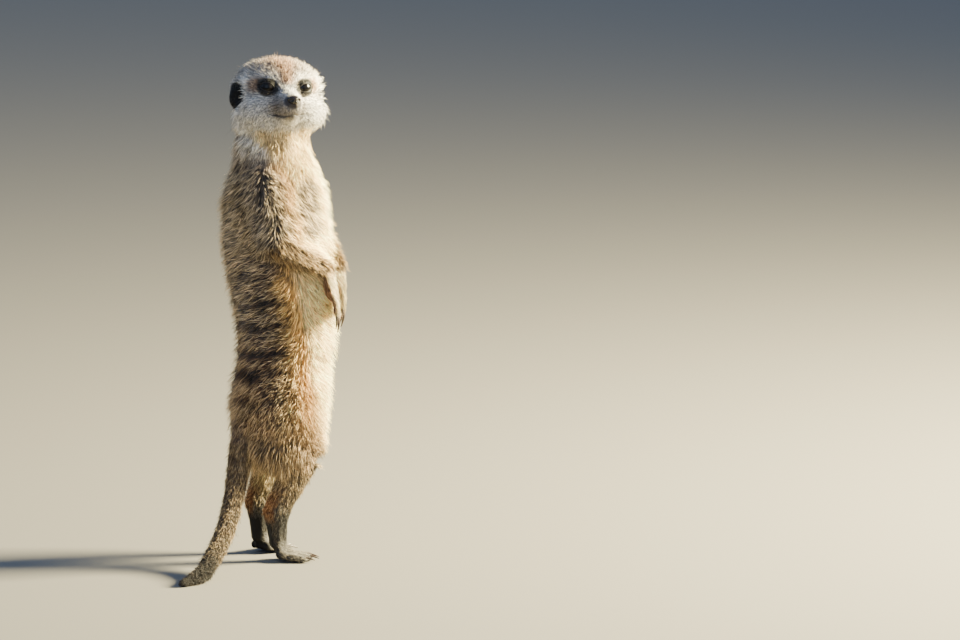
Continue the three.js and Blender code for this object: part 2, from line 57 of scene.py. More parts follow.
# ------------------------------------------------------------------ sizes of the skin and the coat

SKIN_GRAIN = 1.12  # size of a face on the skin
GAP_FILL = 0.3  # closes the thin cuts between neighbouring solids
EYE_RADIUS = 5.4
TUFT_PATCH = 0.003  # width of one tuft's patch on the coat's own map
TUFTS_IN_A_PIECE = 32000
SPIKES_IN_A_PIECE = 48000
TUFTS_IN_A_LOCK = 10
GUARD_SHARE = 0.16  # of the tufts, that are longer, finer and stand off more
LOOSE_SHARE, LOOSE_ON_HEAD = 0.015, 0.006  # of the tufts, that stand out as single hairs
LOOSE = ("trunk", "thigh", "neck", "head", "upper_arm", "forearm", "tail")  # the regions that have them
DARK_BELOW, PALE_ABOVE = 0.26, 0.9  # a tuft's own chance makes it dark or pale where the coat is mixed
SKIN_SHADE = 0.4  # the skin's tone beside the coat's

# The coat by region: depth over the skin, length and width of a tuft, tufts on a square millimetre,
# how far a tuft stands off (0 flat, 1 straight out), and how strongly the solids' facets are smoothed.
COAT = {
    "trunk": dict(depth=6.0, length=9.8, width=0.7, number=2.6, lift=0.46, smooth=1.0),
    "thigh": dict(depth=4.9, length=9.0, width=0.68, number=2.6, lift=0.4, smooth=1.0),
    "neck": dict(depth=4.2, length=7.5, width=0.58, number=3.2, lift=0.44, smooth=1.0),
    "upper_arm": dict(depth=4.4, length=7.8, width=0.62, number=3.1, lift=0.46, smooth=0.8),
    "forearm": dict(depth=2.3, length=5.5, width=0.5, number=4.0, lift=0.34, smooth=0.6),
    "hand": dict(depth=0.6, length=3.2, width=0.38, number=4.5, lift=0.16, smooth=0.1),
    "shank": dict(depth=2.2, length=5.5, width=0.5, number=3.8, lift=0.3, smooth=0.8),
    "foot": dict(depth=0.8, length=2.8, width=0.38, number=4.0, lift=0.14, smooth=0.3),
    "tail": dict(depth=1.7, length=4.8, width=0.46, number=3.8, lift=0.28, smooth=0.6),
    "head": dict(depth=2.0, length=4.4, width=0.38, number=5.0, lift=0.32, smooth=0.9),
    "muzzle": dict(depth=0.6, length=1.9, width=0.3, number=6.0, lift=0.16, smooth=0.3),
    "ear": dict(depth=0.3, length=1.8, width=0.35, number=3.0, lift=0.15, smooth=0.3),
}

REGION = {"neck": "neck", "head": "head", "muzzle": "muzzle"}
REGION.update({node: "trunk" for node in ("chest", "belly", "rump")})
REGION.update({node: "tail" for node in ("tail_base", "tail_middle", "tail_tip")})
for side in ("right", "left"):
    for limb in ("upper_arm", "forearm", "hand", "thigh", "shank", "foot", "ear"):
        REGION[f"{limb}_{side}"] = limb
FLESH = sorted(REGION)

# Which marking each node of flesh carries.
MARKING = dict(REGION)
for node in FLESH:
    if REGION[node] == "thigh":
        MARKING[node] = "trunk"
    if REGION[node] == "muzzle":
        MARKING[node] = "head"
    if REGION[node] in ("shank", "foot"):
        MARKING[node] = "leg_" + node.split("_")[1]
MARKINGS = sorted(set(MARKING.values()))
CLAWS = sorted(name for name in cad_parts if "claw" in name)
SEAT = ("thigh_right", "thigh_left", "rump")

# ------------------------------------------------------------------ small helpers


def unit(v):
    return v / np.maximum(np.linalg.norm(v, axis=-1, keepdims=True), 1e-9)


def step(low, high, value):
    """0 below low, 1 above high, and smooth between."""
    t = np.clip((value - low) / (high - low), 0, 1)
    return t * t * (3 - 2 * t)


def bump(middle, width, value):
    return np.exp(-(((value - middle) / width) ** 2))


def linear(code):
    """A colour written as #rrggbb, in the scene's linear light."""
    srgb = np.array([int(code[i : i + 2], 16) for i in (1, 3, 5)]) / 255
    return np.where(srgb <= 0.04045, srgb / 12.92, ((srgb + 0.055) / 1.055) ** 2.4)


def mix(base, other, share):
    share = np.asarray(share)[..., None]
    return base * (1 - share) + other * share


def ripple(points, size, seed, waves=9):
    """A smooth uneven field from about -1 to 1 that changes over the given size."""
    rng = np.random.default_rng(seed)
    ways = unit(rng.normal(size=(waves, 3)))
    pace = 2 * math.pi / (size * rng.uniform(0.7, 1.6, waves))
    phase = rng.uniform(0, 2 * math.pi, waves)
    return np.sin((points @ ways.T) * pace + phase).sum(1) * (1.5 / waves)


def middle(node):
    low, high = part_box(node)
    return np.array((low + high) / 2) / MM


def corners_of(node):
    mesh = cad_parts[node].data
    flat = np.empty(len(mesh.vertices) * 3)
    mesh.vertices.foreach_get("co", flat)
    return flat.reshape(-1, 3) / MM


def region_of(node_numbers):
    return np.array([REGION[node] for node in FLESH])[node_numbers]


def on_nodes(node_numbers, *nodes):
    return np.isin(node_numbers, [FLESH.index(node) for node in nodes])


def weighed(values, share):
    """Numbers or vectors at several points each, added up by their shares."""
    return (values * (share if values.ndim == 2 else share[:, :, None])).sum(1)


def nearest_of(points, wanted):
    """The number of the point nearest to each wanted place."""
    tree = KDTree(len(points))
    for number, point in enumerate(points):
        tree.insert(Vector(point), number)
    tree.balance()
    return np.array([tree.find(Vector(spot))[1] for spot in wanted])


def distance_to(points, part):
    """How far each point is from the middle of the nearer one of a pair, such as the ears."""
    return np.min([np.linalg.norm(points - middle(f"{part}_{side}"), axis=1) for side in EYES], axis=0)


def in_scene(name, mesh):
    thing = bpy.data.objects.new(name, mesh)
    bpy.context.scene.collection.objects.link(thing)
    return thing


def made_plain(holder):
    """The mesh that an object's modifiers give; the object and its own mesh go."""
    mesh = bpy.data.meshes.new_from_object(holder.evaluated_get(bpy.context.evaluated_depsgraph_get()))
    start = holder.data
    bpy.data.objects.remove(holder)
    bpy.data.meshes.remove(start)
    return mesh


# ------------------------------------------------------------------ landmarks

EYES = {side: middle(f"eye_{side}") for side in ("right", "left")}
BROW = (EYES["right"] + EYES["left"]) / 2
LEFTWARDS = unit(EYES["left"] - EYES["right"])
NOSE_AHEAD, NOSE_BELOW = 23.2, 10.0
TOES_OUT = 20.0
NOSE_SIZE = np.array([3.2, 4.8, 3.1])
NOSE_MIDDLE = np.array([NOSE_AHEAD, 0, -NOSE_BELOW])
_to_nose = middle("nose") - BROW
_to_nose = unit(_to_nose - (_to_nose @ LEFTWARDS) * LEFTWARDS)
_droop = math.atan2(NOSE_BELOW, NOSE_AHEAD)
FORWARD = _to_nose * math.cos(_droop) + np.cross(_to_nose, LEFTWARDS) * math.sin(_droop)
UPWARDS = np.cross(FORWARD, LEFTWARDS)
HEAD_AXES = np.array([FORWARD, LEFTWARDS, UPWARDS])

# From the part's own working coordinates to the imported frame.
BROW_AS_DRAWN = np.array([4.3, -27.7, 314.1])
SHIFT = BROW - BROW_AS_DRAWN

TAIL_ALONG_X = [-8, -14.8, -21.4, -28.2, -36, -47.5, -61.2, -74, -88.5]
TAIL_ALONG_Y = [-1, -3, -9, -17.4, -27.4, -41.6, -59.1, -75.5, -86]
TAIL_HEIGHTS = [102, 84, 66, 47, 31, 18, 9, 4.6, 2.7]
TAIL_LINE = SHIFT + np.stack([TAIL_ALONG_X, TAIL_ALONG_Y, TAIL_HEIGHTS], 1)


def in_head(points):
    """Ahead of the eyes, to the left and up, in millimetres from midway between the eyes."""
    return (points - BROW) @ HEAD_AXES.T


def from_head(points):
    return BROW + np.asarray(points) @ HEAD_AXES


# The trunk's middle line along X, the turn of its belly to the right, and where the cream begins on
# the way from the flank (0) to the middle of the belly (1), by height.
TRUNK_HEIGHTS = [66, 79, 103, 128, 147, 172, 200, 222, 241, 258, 272, 300]
TRUNK_MIDDLE = [11, 11.5, 11, 12.8, 15.4, 12.8, 9.4, 8, 7, 7, 6.2, 7]
TRUNK_TURN = [0, 0, 0, 4, 8, 14, 20, 24, 28, 34, 50, 80]
TRUNK_CREAM = [0.45, 0.45, 0.5, 0.46, 0.32, 0.3, 0.36, 0.58, 0.52, 0.52, 0.45, 0.4]


def belly_side(points):
    """1 on the middle of the belly, -1 on the spine."""
    height = points[:, 2]
    x = points[:, 0] - SHIFT[0] - np.interp(height, TRUNK_HEIGHTS, TRUNK_MIDDLE)
    y = points[:, 1] - SHIFT[1]
    turn = -np.radians(np.interp(height, TRUNK_HEIGHTS, TRUNK_TURN))
    return (x * np.cos(turn) + y * np.sin(turn)) / np.maximum(np.hypot(x, y), 1e-6)


# ------------------------------------------------------------------ the skin's mesh


def swollen_copy(node, swell):
    piece = bmesh.new()
    piece.from_mesh(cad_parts[node].data)
    bmesh.ops.remove_doubles(piece, verts=piece.verts, dist=1e-6)
    piece.normal_update()
    for corner in piece.verts:
        corner.co += corner.normal * swell
    mesh = bpy.data.meshes.new(node + "_copy")
    piece.to_mesh(mesh)
    piece.free()
    return mesh


def joined_copies(nodes, swell):
    """The nodes' solids as one mesh, each swollen a little."""
    whole = bmesh.new()
    for node in nodes:
        mesh = swollen_copy(node, swell)
        whole.from_mesh(mesh)
        bpy.data.meshes.remove(mesh)
    mesh = bpy.data.meshes.new("joined")
    whole.to_mesh(mesh)
    whole.free()
    return mesh


def one_closed_mesh():
    """All the flesh as one closed mesh of small even faces."""
    start = joined_copies(FLESH + ["eye_right", "eye_left", "nose"], GAP_FILL * MM)
    holder = in_scene("skin_start", start)
    remesh = holder.modifiers.new("even", "REMESH")
    remesh.mode = "VOXEL"
    remesh.voxel_size = SKIN_GRAIN * MM
    return made_plain(holder)


def keep_outer_shell(shape):
    """Drops the closed pockets inside."""
    left = set(shape.verts)
    shells = []
    while left:
        seed = left.pop()
        shell, edge = {seed}, [seed]
        while edge:
            for link in edge.pop().link_edges:
                for corner in link.verts:
                    if corner in left:
                        left.discard(corner)
                        shell.add(corner)
                        edge.append(corner)
        shells.append(shell)
    largest = max(shells, key=len)
    spare = [corner for corner in shape.verts if corner not in largest]
    bmesh.ops.delete(shape, geom=spare, context="VERTS")


def refine_face(shape):
    """Smaller faces round the eyes and on the front of the muzzle."""
    chosen = set()
    for link in shape.edges:
        place = np.array((link.verts[0].co + link.verts[1].co) / 2) / MM
        ahead, across, up = in_head(place)
        near_eye = min(np.linalg.norm(place - eye) for eye in EYES.values()) < 9.5
        if near_eye or (ahead > 5 and abs(across) < 16 and -30 < up < 8):
            chosen.add(link)
    bmesh.ops.subdivide_edges(shape, edges=list(chosen), cuts=1, use_grid_fill=True)


class Surface:
    """The skin's points, its neighbours and the values carried on it."""

    def __init__(self, shape):
        shape.verts.ensure_lookup_table()
        shape.verts.index_update()
        self.points = np.array([v.co for v in shape.verts]) / MM
        reach = max(len(v.link_edges) for v in shape.verts)
        self.beside = np.empty((len(shape.verts), reach), int)
        for v in shape.verts:
            near = [e.other_vert(v).index for e in v.link_edges]
            self.beside[v.index] = near + [v.index] * (reach - len(near))
        real = (self.beside != np.arange(len(self.beside))[:, None]).astype(float)
        self.real = real / np.maximum(real.sum(1), 1)[:, None]
        shape.faces.ensure_lookup_table()
        corners = [[c.vert.index for c in loops] for loops in shape.calc_loop_triangles()]
        self.triangles = np.array(corners)

    def average(self, values):
        return weighed(values[self.beside], self.real)

    def spread(self, values, times):
        for _ in range(times):
            values = (values + self.average(values)) / 2
        return values

    def normals(self):
        a, b, c = (self.points[self.triangles[:, k]] for k in range(3))
        face = np.cross(b - a, c - a)
        total = np.zeros_like(self.points)
        for k in range(3):
            for axis in range(3):
                total[:, axis] += np.bincount(self.triangles[:, k], face[:, axis], minlength=len(total))
        return unit(total)

    def relax(self, strength, times):
        """Smooths the form without shrinking it; strength is a value for each point."""
        strength = strength[:, None]
        for turn in range(2 * times):
            pull = 0.55 if turn % 2 == 0 else -0.57
            self.points += pull * strength * (self.average(self.points) - self.points)


def nearest_node(points):
    """The CAD node nearest to each point, by number in FLESH."""
    corners, faces, owner = [], [], []
    start = 0
    for number, node in enumerate(FLESH):
        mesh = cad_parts[node].data
        corners += [v.co / MM for v in mesh.vertices]
        faces += [[start + i for i in face.vertices] for face in mesh.polygons]
        owner += [number] * len(mesh.polygons)
        start = len(corners)
    tree = BVHTree.FromPolygons(corners, faces)
    return np.array([owner[tree.find_nearest(Vector(p))[2]] for p in points])


# The head's own changes: towards the muzzle, on the crown, and on the cheeks and jaw.
MUZZLE_COAT = dict(depth=0.6, length=2.0, width=0.32, lift=0.16)
CROWN_COAT = dict(depth=1.5, length=4.0, lift=0.26)
RUFF_COAT = dict(depth=3.4, length=6.4, width=0.44, lift=0.34)


def by_region(points, node_numbers, key):
    """One of the coat's values at each point of the skin, before it is smoothed."""
    values = np.array([COAT[REGION[node]][key] for node in FLESH])[node_numbers]
    if key in MUZZLE_COAT:
        ahead, across, up = in_head(points).T
        across = np.abs(across)
        cheek = np.maximum(step(-4, -12, up), step(14, 22, across) * step(8, -4, up))
        on_head = values + (RUFF_COAT[key] - values) * (step(-2, -12, ahead) * cheek)
        if key in CROWN_COAT:
            on_head += (CROWN_COAT[key] - on_head) * step(0, 10, up)
        on_head += (MUZZLE_COAT[key] - on_head) * step(-5, 6, ahead + 0.25 * across * (up < 0))
        values = np.where(on_nodes(node_numbers, "head", "muzzle"), on_head, values)
    low = step(122, 74, points[:, 2]) * on_nodes(node_numbers, *SEAT)
    values = values + (COAT["shank"][key] - values) * (low if key in ("length", "lift") else 0.6 * low)
    lower = values + (COAT["foot"][key] - values) * step(60, 36, points[:, 2])
    return np.where(on_nodes(node_numbers, "shank_right", "shank_left"), lower, values)


# ------------------------------------------------------------------ the face


EYE_OUTWARD = math.radians(24)  # how far each eye's opening looks aside
LID_HALF_WIDTH, LID_UPPER, LID_LOWER = 4.7, 2.9, 2.8
LID_SLANT = 0.16  # the outer corner lies higher than the inner one
LID_ROUND_ACROSS, LID_ROUND_UP = 2.1, 1.9  # powers of the opening's outline; 2 is an ellipse


def gaze(side):
    sign = -1 if side == "right" else 1
    return np.array([math.cos(EYE_OUTWARD), sign * math.sin(EYE_OUTWARD), 0.0])


def eye_frame(side):
    """The eyeball's middle, and its axes: out of the opening, towards the temple, and up."""
    sign = -1 if side == "right" else 1
    out = gaze(side) @ HEAD_AXES
    temple = unit(np.cross(UPWARDS, out)) * sign
    up = np.cross(out, temple) * sign
    return EYES[side], np.array([out, temple, up])


def lid_height(temple, upper):
    """Half the opening's height, which falls a little towards the temple."""
    return np.where(upper, LID_UPPER, LID_LOWER) * (1 - 0.12 * np.tanh(temple / 3))


def in_opening(local):
    """Below 1 inside the opening of the lids, for places in an eye's own axes."""
    temple, up = local[:, 1], local[:, 2] - LID_SLANT * local[:, 1]
    across = (np.abs(temple) / LID_HALF_WIDTH) ** LID_ROUND_ACROSS
    return across + (np.abs(up) / lid_height(temple, up > 0)) ** LID_ROUND_UP


def shape_lids(surface):
    """Wraps the skin over each eyeball and opens it in front."""
    for side in EYES:
        centre, axes = eye_frame(side)
        local = (surface.points - centre) @ axes.T
        away = np.linalg.norm(local, axis=1)
        near = (away < 9.5) & (local[:, 0] > -2)
        opening = in_opening(local)
        lid = EYE_RADIUS + 0.75
        inside = near & (opening < 1) & (local[:, 0] > 0)
        covered = near & ~inside & (away < lid + 0.9)
        local[inside] *= ((EYE_RADIUS - 1.6) / away[inside])[:, None]
        local[covered] *= (np.maximum(away[covered], lid) / away[covered])[:, None]
        surface.points = np.where(near[:, None], local @ axes + centre, surface.points)


def mouth_groove(points):
    """How near a point of the muzzle is to the line between the lips, 0 to 1."""
    ahead, across, up = in_head(points).T
    level = -17.6 - 1.9 * step(3, 16, ahead) + 0.7 * bump(0, 2.5, across)
    return bump(level, 0.7, up) * step(2.0, 4.5, ahead)


def shape_muzzle(surface, normals):
    surface.points -= normals * (0.9 * mouth_groove(surface.points))[:, None]
    local = in_head(surface.points) - NOSE_MIDDLE
    out = np.linalg.norm(local / NOSE_SIZE, axis=1)
    sunk = local * (0.72 / np.maximum(out, 0.5))[:, None]  # the pad itself is a piece of its own
    local = np.where((out < 1.16)[:, None], sunk, local)
    surface.points = from_head(local + NOSE_MIDDLE)


# ------------------------------------------------------------------ which way the coat lies


def tail_way(points):
    ahead = unit(np.diff(TAIL_LINE, axis=0))
    mid = (TAIL_LINE[1:] + TAIL_LINE[:-1]) / 2
    away = np.linalg.norm(points[:, None] - mid[None], axis=2)
    share = np.exp(-((away / 9) ** 2)) + 1e-12
    return unit((share[:, :, None] * ahead).sum(1))


def limb_way(chain):
    """From one node of a limb to the next, for each node of the chain."""
    middles = [corners_of(node).mean(0) for node in chain]
    ways = {}
    for i, node in enumerate(chain):
        before, after = middles[max(i - 1, 0)], middles[min(i + 1, len(chain) - 1)]
        ways[node] = unit(after - before)
    return ways


# How strongly the trunk's coat lies down, and back from the flank, by height.
LIE_HEIGHTS = [60, 90, 125, 150, 215, 240, 265]
LIE_DOWN = [1.0, 1.0, 0.8, 0.5, 0.5, 0.8, 1.0]
LIE_TO_BACK = [0.2, 0.4, 0.9, 1.3, 1.2, 0.9, 0.4]


def coat_ways(points, node_numbers, normals):
    down = np.tile([0.0, 0.0, -1.0], (len(points), 1))
    height = points[:, 2]
    turn = -np.radians(np.interp(height, TRUNK_HEIGHTS, TRUNK_TURN))
    backwards = -np.stack([np.cos(turn), np.sin(turn), np.zeros_like(turn)], 1)
    side = belly_side(points)
    to_back = np.interp(height, LIE_HEIGHTS, LIE_TO_BACK) * (1 - 1.35 * step(0.0, 0.6, side))
    way = down * np.interp(height, LIE_HEIGHTS, LIE_DOWN)[:, None] + backwards * to_back[:, None]
    trunk_way = unit(way)

    def turned(way, new, *nodes):
        return np.where(on_nodes(node_numbers, *nodes)[:, None], new, way)

    from_nose = points - from_head([NOSE_AHEAD + 2, 0, 2 - NOSE_BELOW])
    over_head = unit(from_nose) + down * (0.9 * step(-2, -16, in_head(points)[:, 2]))[:, None]
    way = turned(way, over_head, "head", "muzzle")
    for side in EYES:
        way = turned(way, unit(points - middle(f"ear_{side}")), f"ear_{side}")
        chain = [f"{limb}_{side}" for limb in ("upper_arm", "forearm", "hand")]
        for node, limb in limb_way(chain).items():
            rear = step(0.35, -0.35, (normals * -backwards).sum(1))[:, None]
            along = limb + (trunk_way - limb) * rear * (0.9 if node == chain[0] else 0.15)
            way = turned(way, along, node)
        toes = toes_way(side) - [0, 0, 0.15]
        low = step(20, 10, height)[:, None]
        way = turned(way, down * (1 - low) + toes * low, f"foot_{side}")
    return turned(way, tail_way(points), "tail_base", "tail_middle", "tail_tip")


# ------------------------------------------------------------------ markings

TONES = {
    name: linear(code)
    for name, code in {
        "back": "#836c5f",
        "gold": "#dbb16e",
        "cream": "#f0d8a6",
        "band": "#2c160d",
        "shoulder": "#857b74",
        "collar": "#7d6c57",
        "loin": "#8a624a",
        "face": "#eae9ea",
        "crown": "#8f8986",
        "rufous": "#8a6650",
        "temple": "#946f4e",
        "mask": "#1a1412",
        "bridge": "#c2c2c6",
        "muzzle": "#918a8c",
        "lip": "#453530",
        "ear": "#0f0b0b",
        "leg": "#8b7457",
        # the feet's tone is darkened as painted shade
        "foot": "#3c3835",
        "hand": "#e0caa0",
        "sole": "#14110f",
        "hock": "#a5662f",
        "tail": "#73604a",
        "tail_tip": "#22170f",
    }.items()
}
BANDS = [  # height, half width, depth of tone
    (206, 3.4, 0.35),
    (187, 3.6, 0.7),
    (170, 3.6, 0.9),
    (154, 3.8, 0.95),
    (137, 4.8, 1.15),
    (121, 4.6, 1.1),
    (105, 3.6, 0.5),
]


def beside_left_arm(points):
    """1 where the ticked fur inside the left arm crosses the cream of the chest."""
    line = SHIFT + [[19.0, -23, 244], [19.5, -24.5, 233], [21.5, -24.5, 222]]
    away = np.linalg.norm(points[:, None] - line[None], axis=2).min(1)
    return step(11, 6, away + 1.5 * ripple(points, 8, 23))


def trunk_tone(points, normals=None):
    side = belly_side(points) + 0.09 * ripple(points, 14, 21)
    height = points[:, 2] + 2.2 * ripple(points, 16, 22)
    tone = mix(TONES["back"], TONES["shoulder"], step(195, 230, height) * 0.7)
    tone = mix(tone, TONES["loin"], step(165, 130, height) * 0.8)
    brown_to = -0.62 + 0.65 * step(180, 215, height)
    golden = step(brown_to, brown_to + 0.5, side) * (0.7 + 0.3 * step(235, 185, height))
    tone = mix(tone, TONES["gold"], golden * (1 - 0.3 * step(150, 105, height)))
    cream_at = np.interp(height, TRUNK_HEIGHTS, TRUNK_CREAM)
    tone = mix(tone, TONES["cream"], step(cream_at - 0.13, cream_at + 0.13, side))
    # Cream fades to the darker leg tone low on the thighs: partly the legs' own brown, partly painted shade
    # on the knees.
    tone = mix(tone, TONES["leg"], 0.85 * step(110, 72, height) * step(0.85, 0.4, side))
    tone = mix(tone, TONES["shoulder"], 0.85 * beside_left_arm(points))
    # All round the bottom of the thighs the coat turns to the darker leg tone: partly the legs' own brown,
    # partly painted shade.
    tone = mix(tone, TONES["leg"], 0.9 * step(82, 66, height))
    curve = height - 5.0 * (1 + side)  # each band dips towards the flank
    for level, half, depth in BANDS:
        patchy = 0.8 + 0.45 * ripple(points, 9, int(level))
        reach = step(0.02, -0.4, side)
        band = 1.15 * bump(level, half, curve) * depth * reach * patchy
        tone = mix(tone, TONES["band"], np.clip(band, 0, 0.97))
    return tone


def neck_tone(points, normals):
    side = belly_side(points)
    height = points[:, 2]
    tone = mix(trunk_tone(points), TONES["crown"], step(258, 276, height) * 0.75)
    pale = step(260, 277, height + 4 * ripple(points, 12, 25)) * step(-0.95, -0.3, side)
    tone = mix(tone, TONES["face"], pale * 0.85)
    throat_at = 0.3 - 0.5 * step(262, 284, height)
    throat = step(throat_at, throat_at + 0.5, side + 0.1 * ripple(points, 10, 24))
    tone = mix(tone, TONES["cream"], throat)
    collar = bump(277, 6, height) * step(0.2, 0.6, side) * step(1.0, 0.8, side)
    return mix(tone, TONES["collar"], np.clip(collar, 0, 1) * 0.8)


def head_tone(points, normals):
    ahead, across, up = in_head(points).T
    across = np.abs(across)
    tone = np.tile(TONES["face"], (len(points), 1))
    tone = mix(tone, TONES["crown"], step(5, 13, up) * 0.85)
    tone = mix(tone, TONES["crown"], step(-12, -30, ahead) * step(-12, 0, up) * 0.8)
    stripe = step(-2, 2, up) * bump(0, 3.8 + 0.42 * np.maximum(up, 0), across)
    tone = mix(tone, TONES["rufous"], np.clip(stripe * 1.1, 0, 0.95) * step(-40, -20, ahead))
    temple = bump(-4, 8, ahead) * bump(19, 5, across) * bump(1.5, 5.5, up)
    tone = mix(tone, TONES["temple"], np.clip(temple * 1.4, 0, 1) * 0.85)
    brow = bump(8.5, 3.5, across) * bump(7.5, 3, up) * step(-12, -4, ahead)
    tone = mix(tone, TONES["bridge"], np.clip(brow, 0, 1) * 0.55)
    nape = step(-27, -40, ahead) * step(6, -14, up)
    tone = mix(tone, TONES["shoulder"], nape * 0.75)
    mask = np.zeros(len(points))
    for side in EYES:
        from_ear = in_head(points) - in_head(middle(f"ear_{side}")) - [1.5, 0, -0.2]
        round_ear = np.linalg.norm(from_ear / [7.2, 9.0, 9.6], axis=1)
        tone = mix(tone, TONES["ear"], step(1.06, 0.92, round_ear))
        centre, axes = eye_frame(side)
        local = (points - centre) @ axes.T
        wide = np.where(local[:, 1] > 0, 7.0, 10.8)  # it reaches further towards the nose
        tall = np.where(local[:, 2] > 0, 5.7, 6.2) * (1 - 0.25 * step(2, 9, -local[:, 1]))
        round_eye = np.sqrt((local[:, 1] / wide) ** 2 + ((local[:, 2] - 0.1 * local[:, 1]) / tall) ** 2)
        mask = np.maximum(mask, step(1.18, 0.84, round_eye) * step(-4, 0, local[:, 0]))
    tone = mix(tone, TONES["mask"], mask)
    bridge = step(1, 6, ahead) * step(-7.5, -3, up) * step(7, 4, across) * step(3.5, 0, up)
    tone = mix(tone, TONES["bridge"], bridge)
    pad = step(1, 9, ahead) * step(-4.5, -9, up + 0.25 * (ahead - 15)) * step(-20.5, -18, up)
    tone = mix(tone, TONES["muzzle"], np.clip(pad, 0, 1) * 0.8)
    near_nose = np.linalg.norm((in_head(points) - NOSE_MIDDLE) / [4.5, 5.8, 4.6], axis=1)
    tone = mix(tone, TONES["lip"], step(1.3, 0.95, near_nose) * 0.8)
    lips = bump(-18.4 - 1.9 * step(3, 16, ahead), 1.9, up) * step(2, 7, ahead)
    return mix(tone, TONES["lip"], np.clip(lips, 0, 1) * 0.8)


def tail_tone(points, normals):
    away = np.linalg.norm(points[:, None] - TAIL_LINE[None], axis=2)
    along = away.argmin(1)
    end = step(58, 30, np.linalg.norm(points - TAIL_LINE[-1], axis=1))
    tone = mix(TONES["back"], TONES["tail"], step(0, 2, along))
    tone = mix(tone, TONES["band"], 0.16 + 0.16 * ripple(points, 9, 31))
    return mix(tone, TONES["tail_tip"], end)


def toes_way(side):
    """Where a foot's toes point, level with the floor."""
    turn = math.radians(TOES_OUT) * (-1 if side == "right" else 1)
    return np.array([math.cos(turn), math.sin(turn), 0.0])


def leg_tone(points, normals, side):
    height = points[:, 2]
    inward = normals[:, 1] * (1 if side == "right" else -1)
    back = -normals @ toes_way(side)
    # The shanks are darkened and the feet made dark grey-brown as painted shade; the cream inner side, the
    # hock and the sole below are the legs' own marks.
    tone = mix(TONES["leg"] * 0.7, TONES["foot"], step(48, 28, height))
    tone = mix(tone, TONES["cream"], step(-0.1, 0.6, inward) * step(30, 56, height) * 0.65)
    hock = step(0.0, 0.5, back) * step(0.85, 0.3, inward) * bump(37, 8, height)
    tone = mix(tone, TONES["hock"], np.clip(hock * 1.2, 0, 1) * 0.75)
    return mix(tone, TONES["sole"], step(0.3, 0.55, back) * step(28.5, 24, height))


def arm_tone(points, normals):
    front = step(0.0, 0.5, belly_side(points))
    return mix(TONES["shoulder"], TONES["gold"] * 0.7, front * 0.8)


def forearm_tone(points, normals):
    # Paler gold on the side that faces up and towards the key light, browner on the side below: painted
    # light and shade. The whole forearm is also darkened as painted shade.
    upper = step(-0.25, 0.75, normals @ unit(np.array([0.75, -0.1, 0.6])))
    share = np.clip(0.35 + 0.35 * upper + 0.15 * ripple(points, 10, 61), 0, 1)
    return mix(TONES["leg"], TONES["gold"], share) * [0.3, 0.26, 0.19]


def hand_tone(points, normals):
    """Pale on the side that faces the key light and brown on the other: partly the hand's own pale back and
    brown palm, partly painted light and shade.
    """
    outer = step(-0.5, 0.3, normals @ unit(np.array([0.9, -0.25, 0.2])))
    return mix(TONES["loin"], TONES["hand"], outer)


MARKING_TONES = {
    "trunk": trunk_tone,
    "neck": neck_tone,
    "head": head_tone,
    "tail": tail_tone,
    "upper_arm": arm_tone,
    "forearm": forearm_tone,
    "hand": hand_tone,
    "leg_right": lambda points, normals: leg_tone(points, normals, "right"),
    "leg_left": lambda points, normals: leg_tone(points, normals, "left"),
    "ear": lambda points, normals: np.tile(TONES["ear"], (len(points), 1)),
}


def marking_shares(surface, node_numbers):
    """How much of each marking a point of the skin carries; only the ears have a sharp edge."""
    marking = np.array([MARKINGS.index(MARKING[node]) for node in FLESH])[node_numbers]
    sharp = np.eye(len(MARKINGS))[marking]
    ear = MARKINGS.index("ear")
    soft = surface.spread(sharp, 22)
    soft[:, ear] = 0
    soft /= np.maximum(soft.sum(1, keepdims=True), 1e-9)
    return np.where(sharp[:, ear : ear + 1] > 0, sharp, soft)


def markings(points, shares, normals):
    """The coat's colour at each point, the same for the skin and the tufts."""
    tone = np.zeros((len(points), 3))
    for number, name in enumerate(MARKINGS):
        chosen = shares[:, number] > 0.01
        if chosen.any():
            part = MARKING_TONES[name](points[chosen], normals[chosen])
            tone[chosen] += part * shares[chosen, number : number + 1]
    return tone / np.maximum(shares.sum(1, keepdims=True), 1e-9)


# ------------------------------------------------------------------ materials


def new_material(name, **values):
    material = bpy.data.materials.new(name)
    material.use_nodes = True
    shader = material.node_tree.nodes["Principled BSDF"]
    for socket, value in values.items():
        shader.inputs[socket.replace("_", " ")].default_value = value
    return material, material.node_tree, shader


def place(tree, kind, **values):
    node = tree.nodes.new(kind)
    for name, value in values.items():
        setattr(node, name, value)
    return node


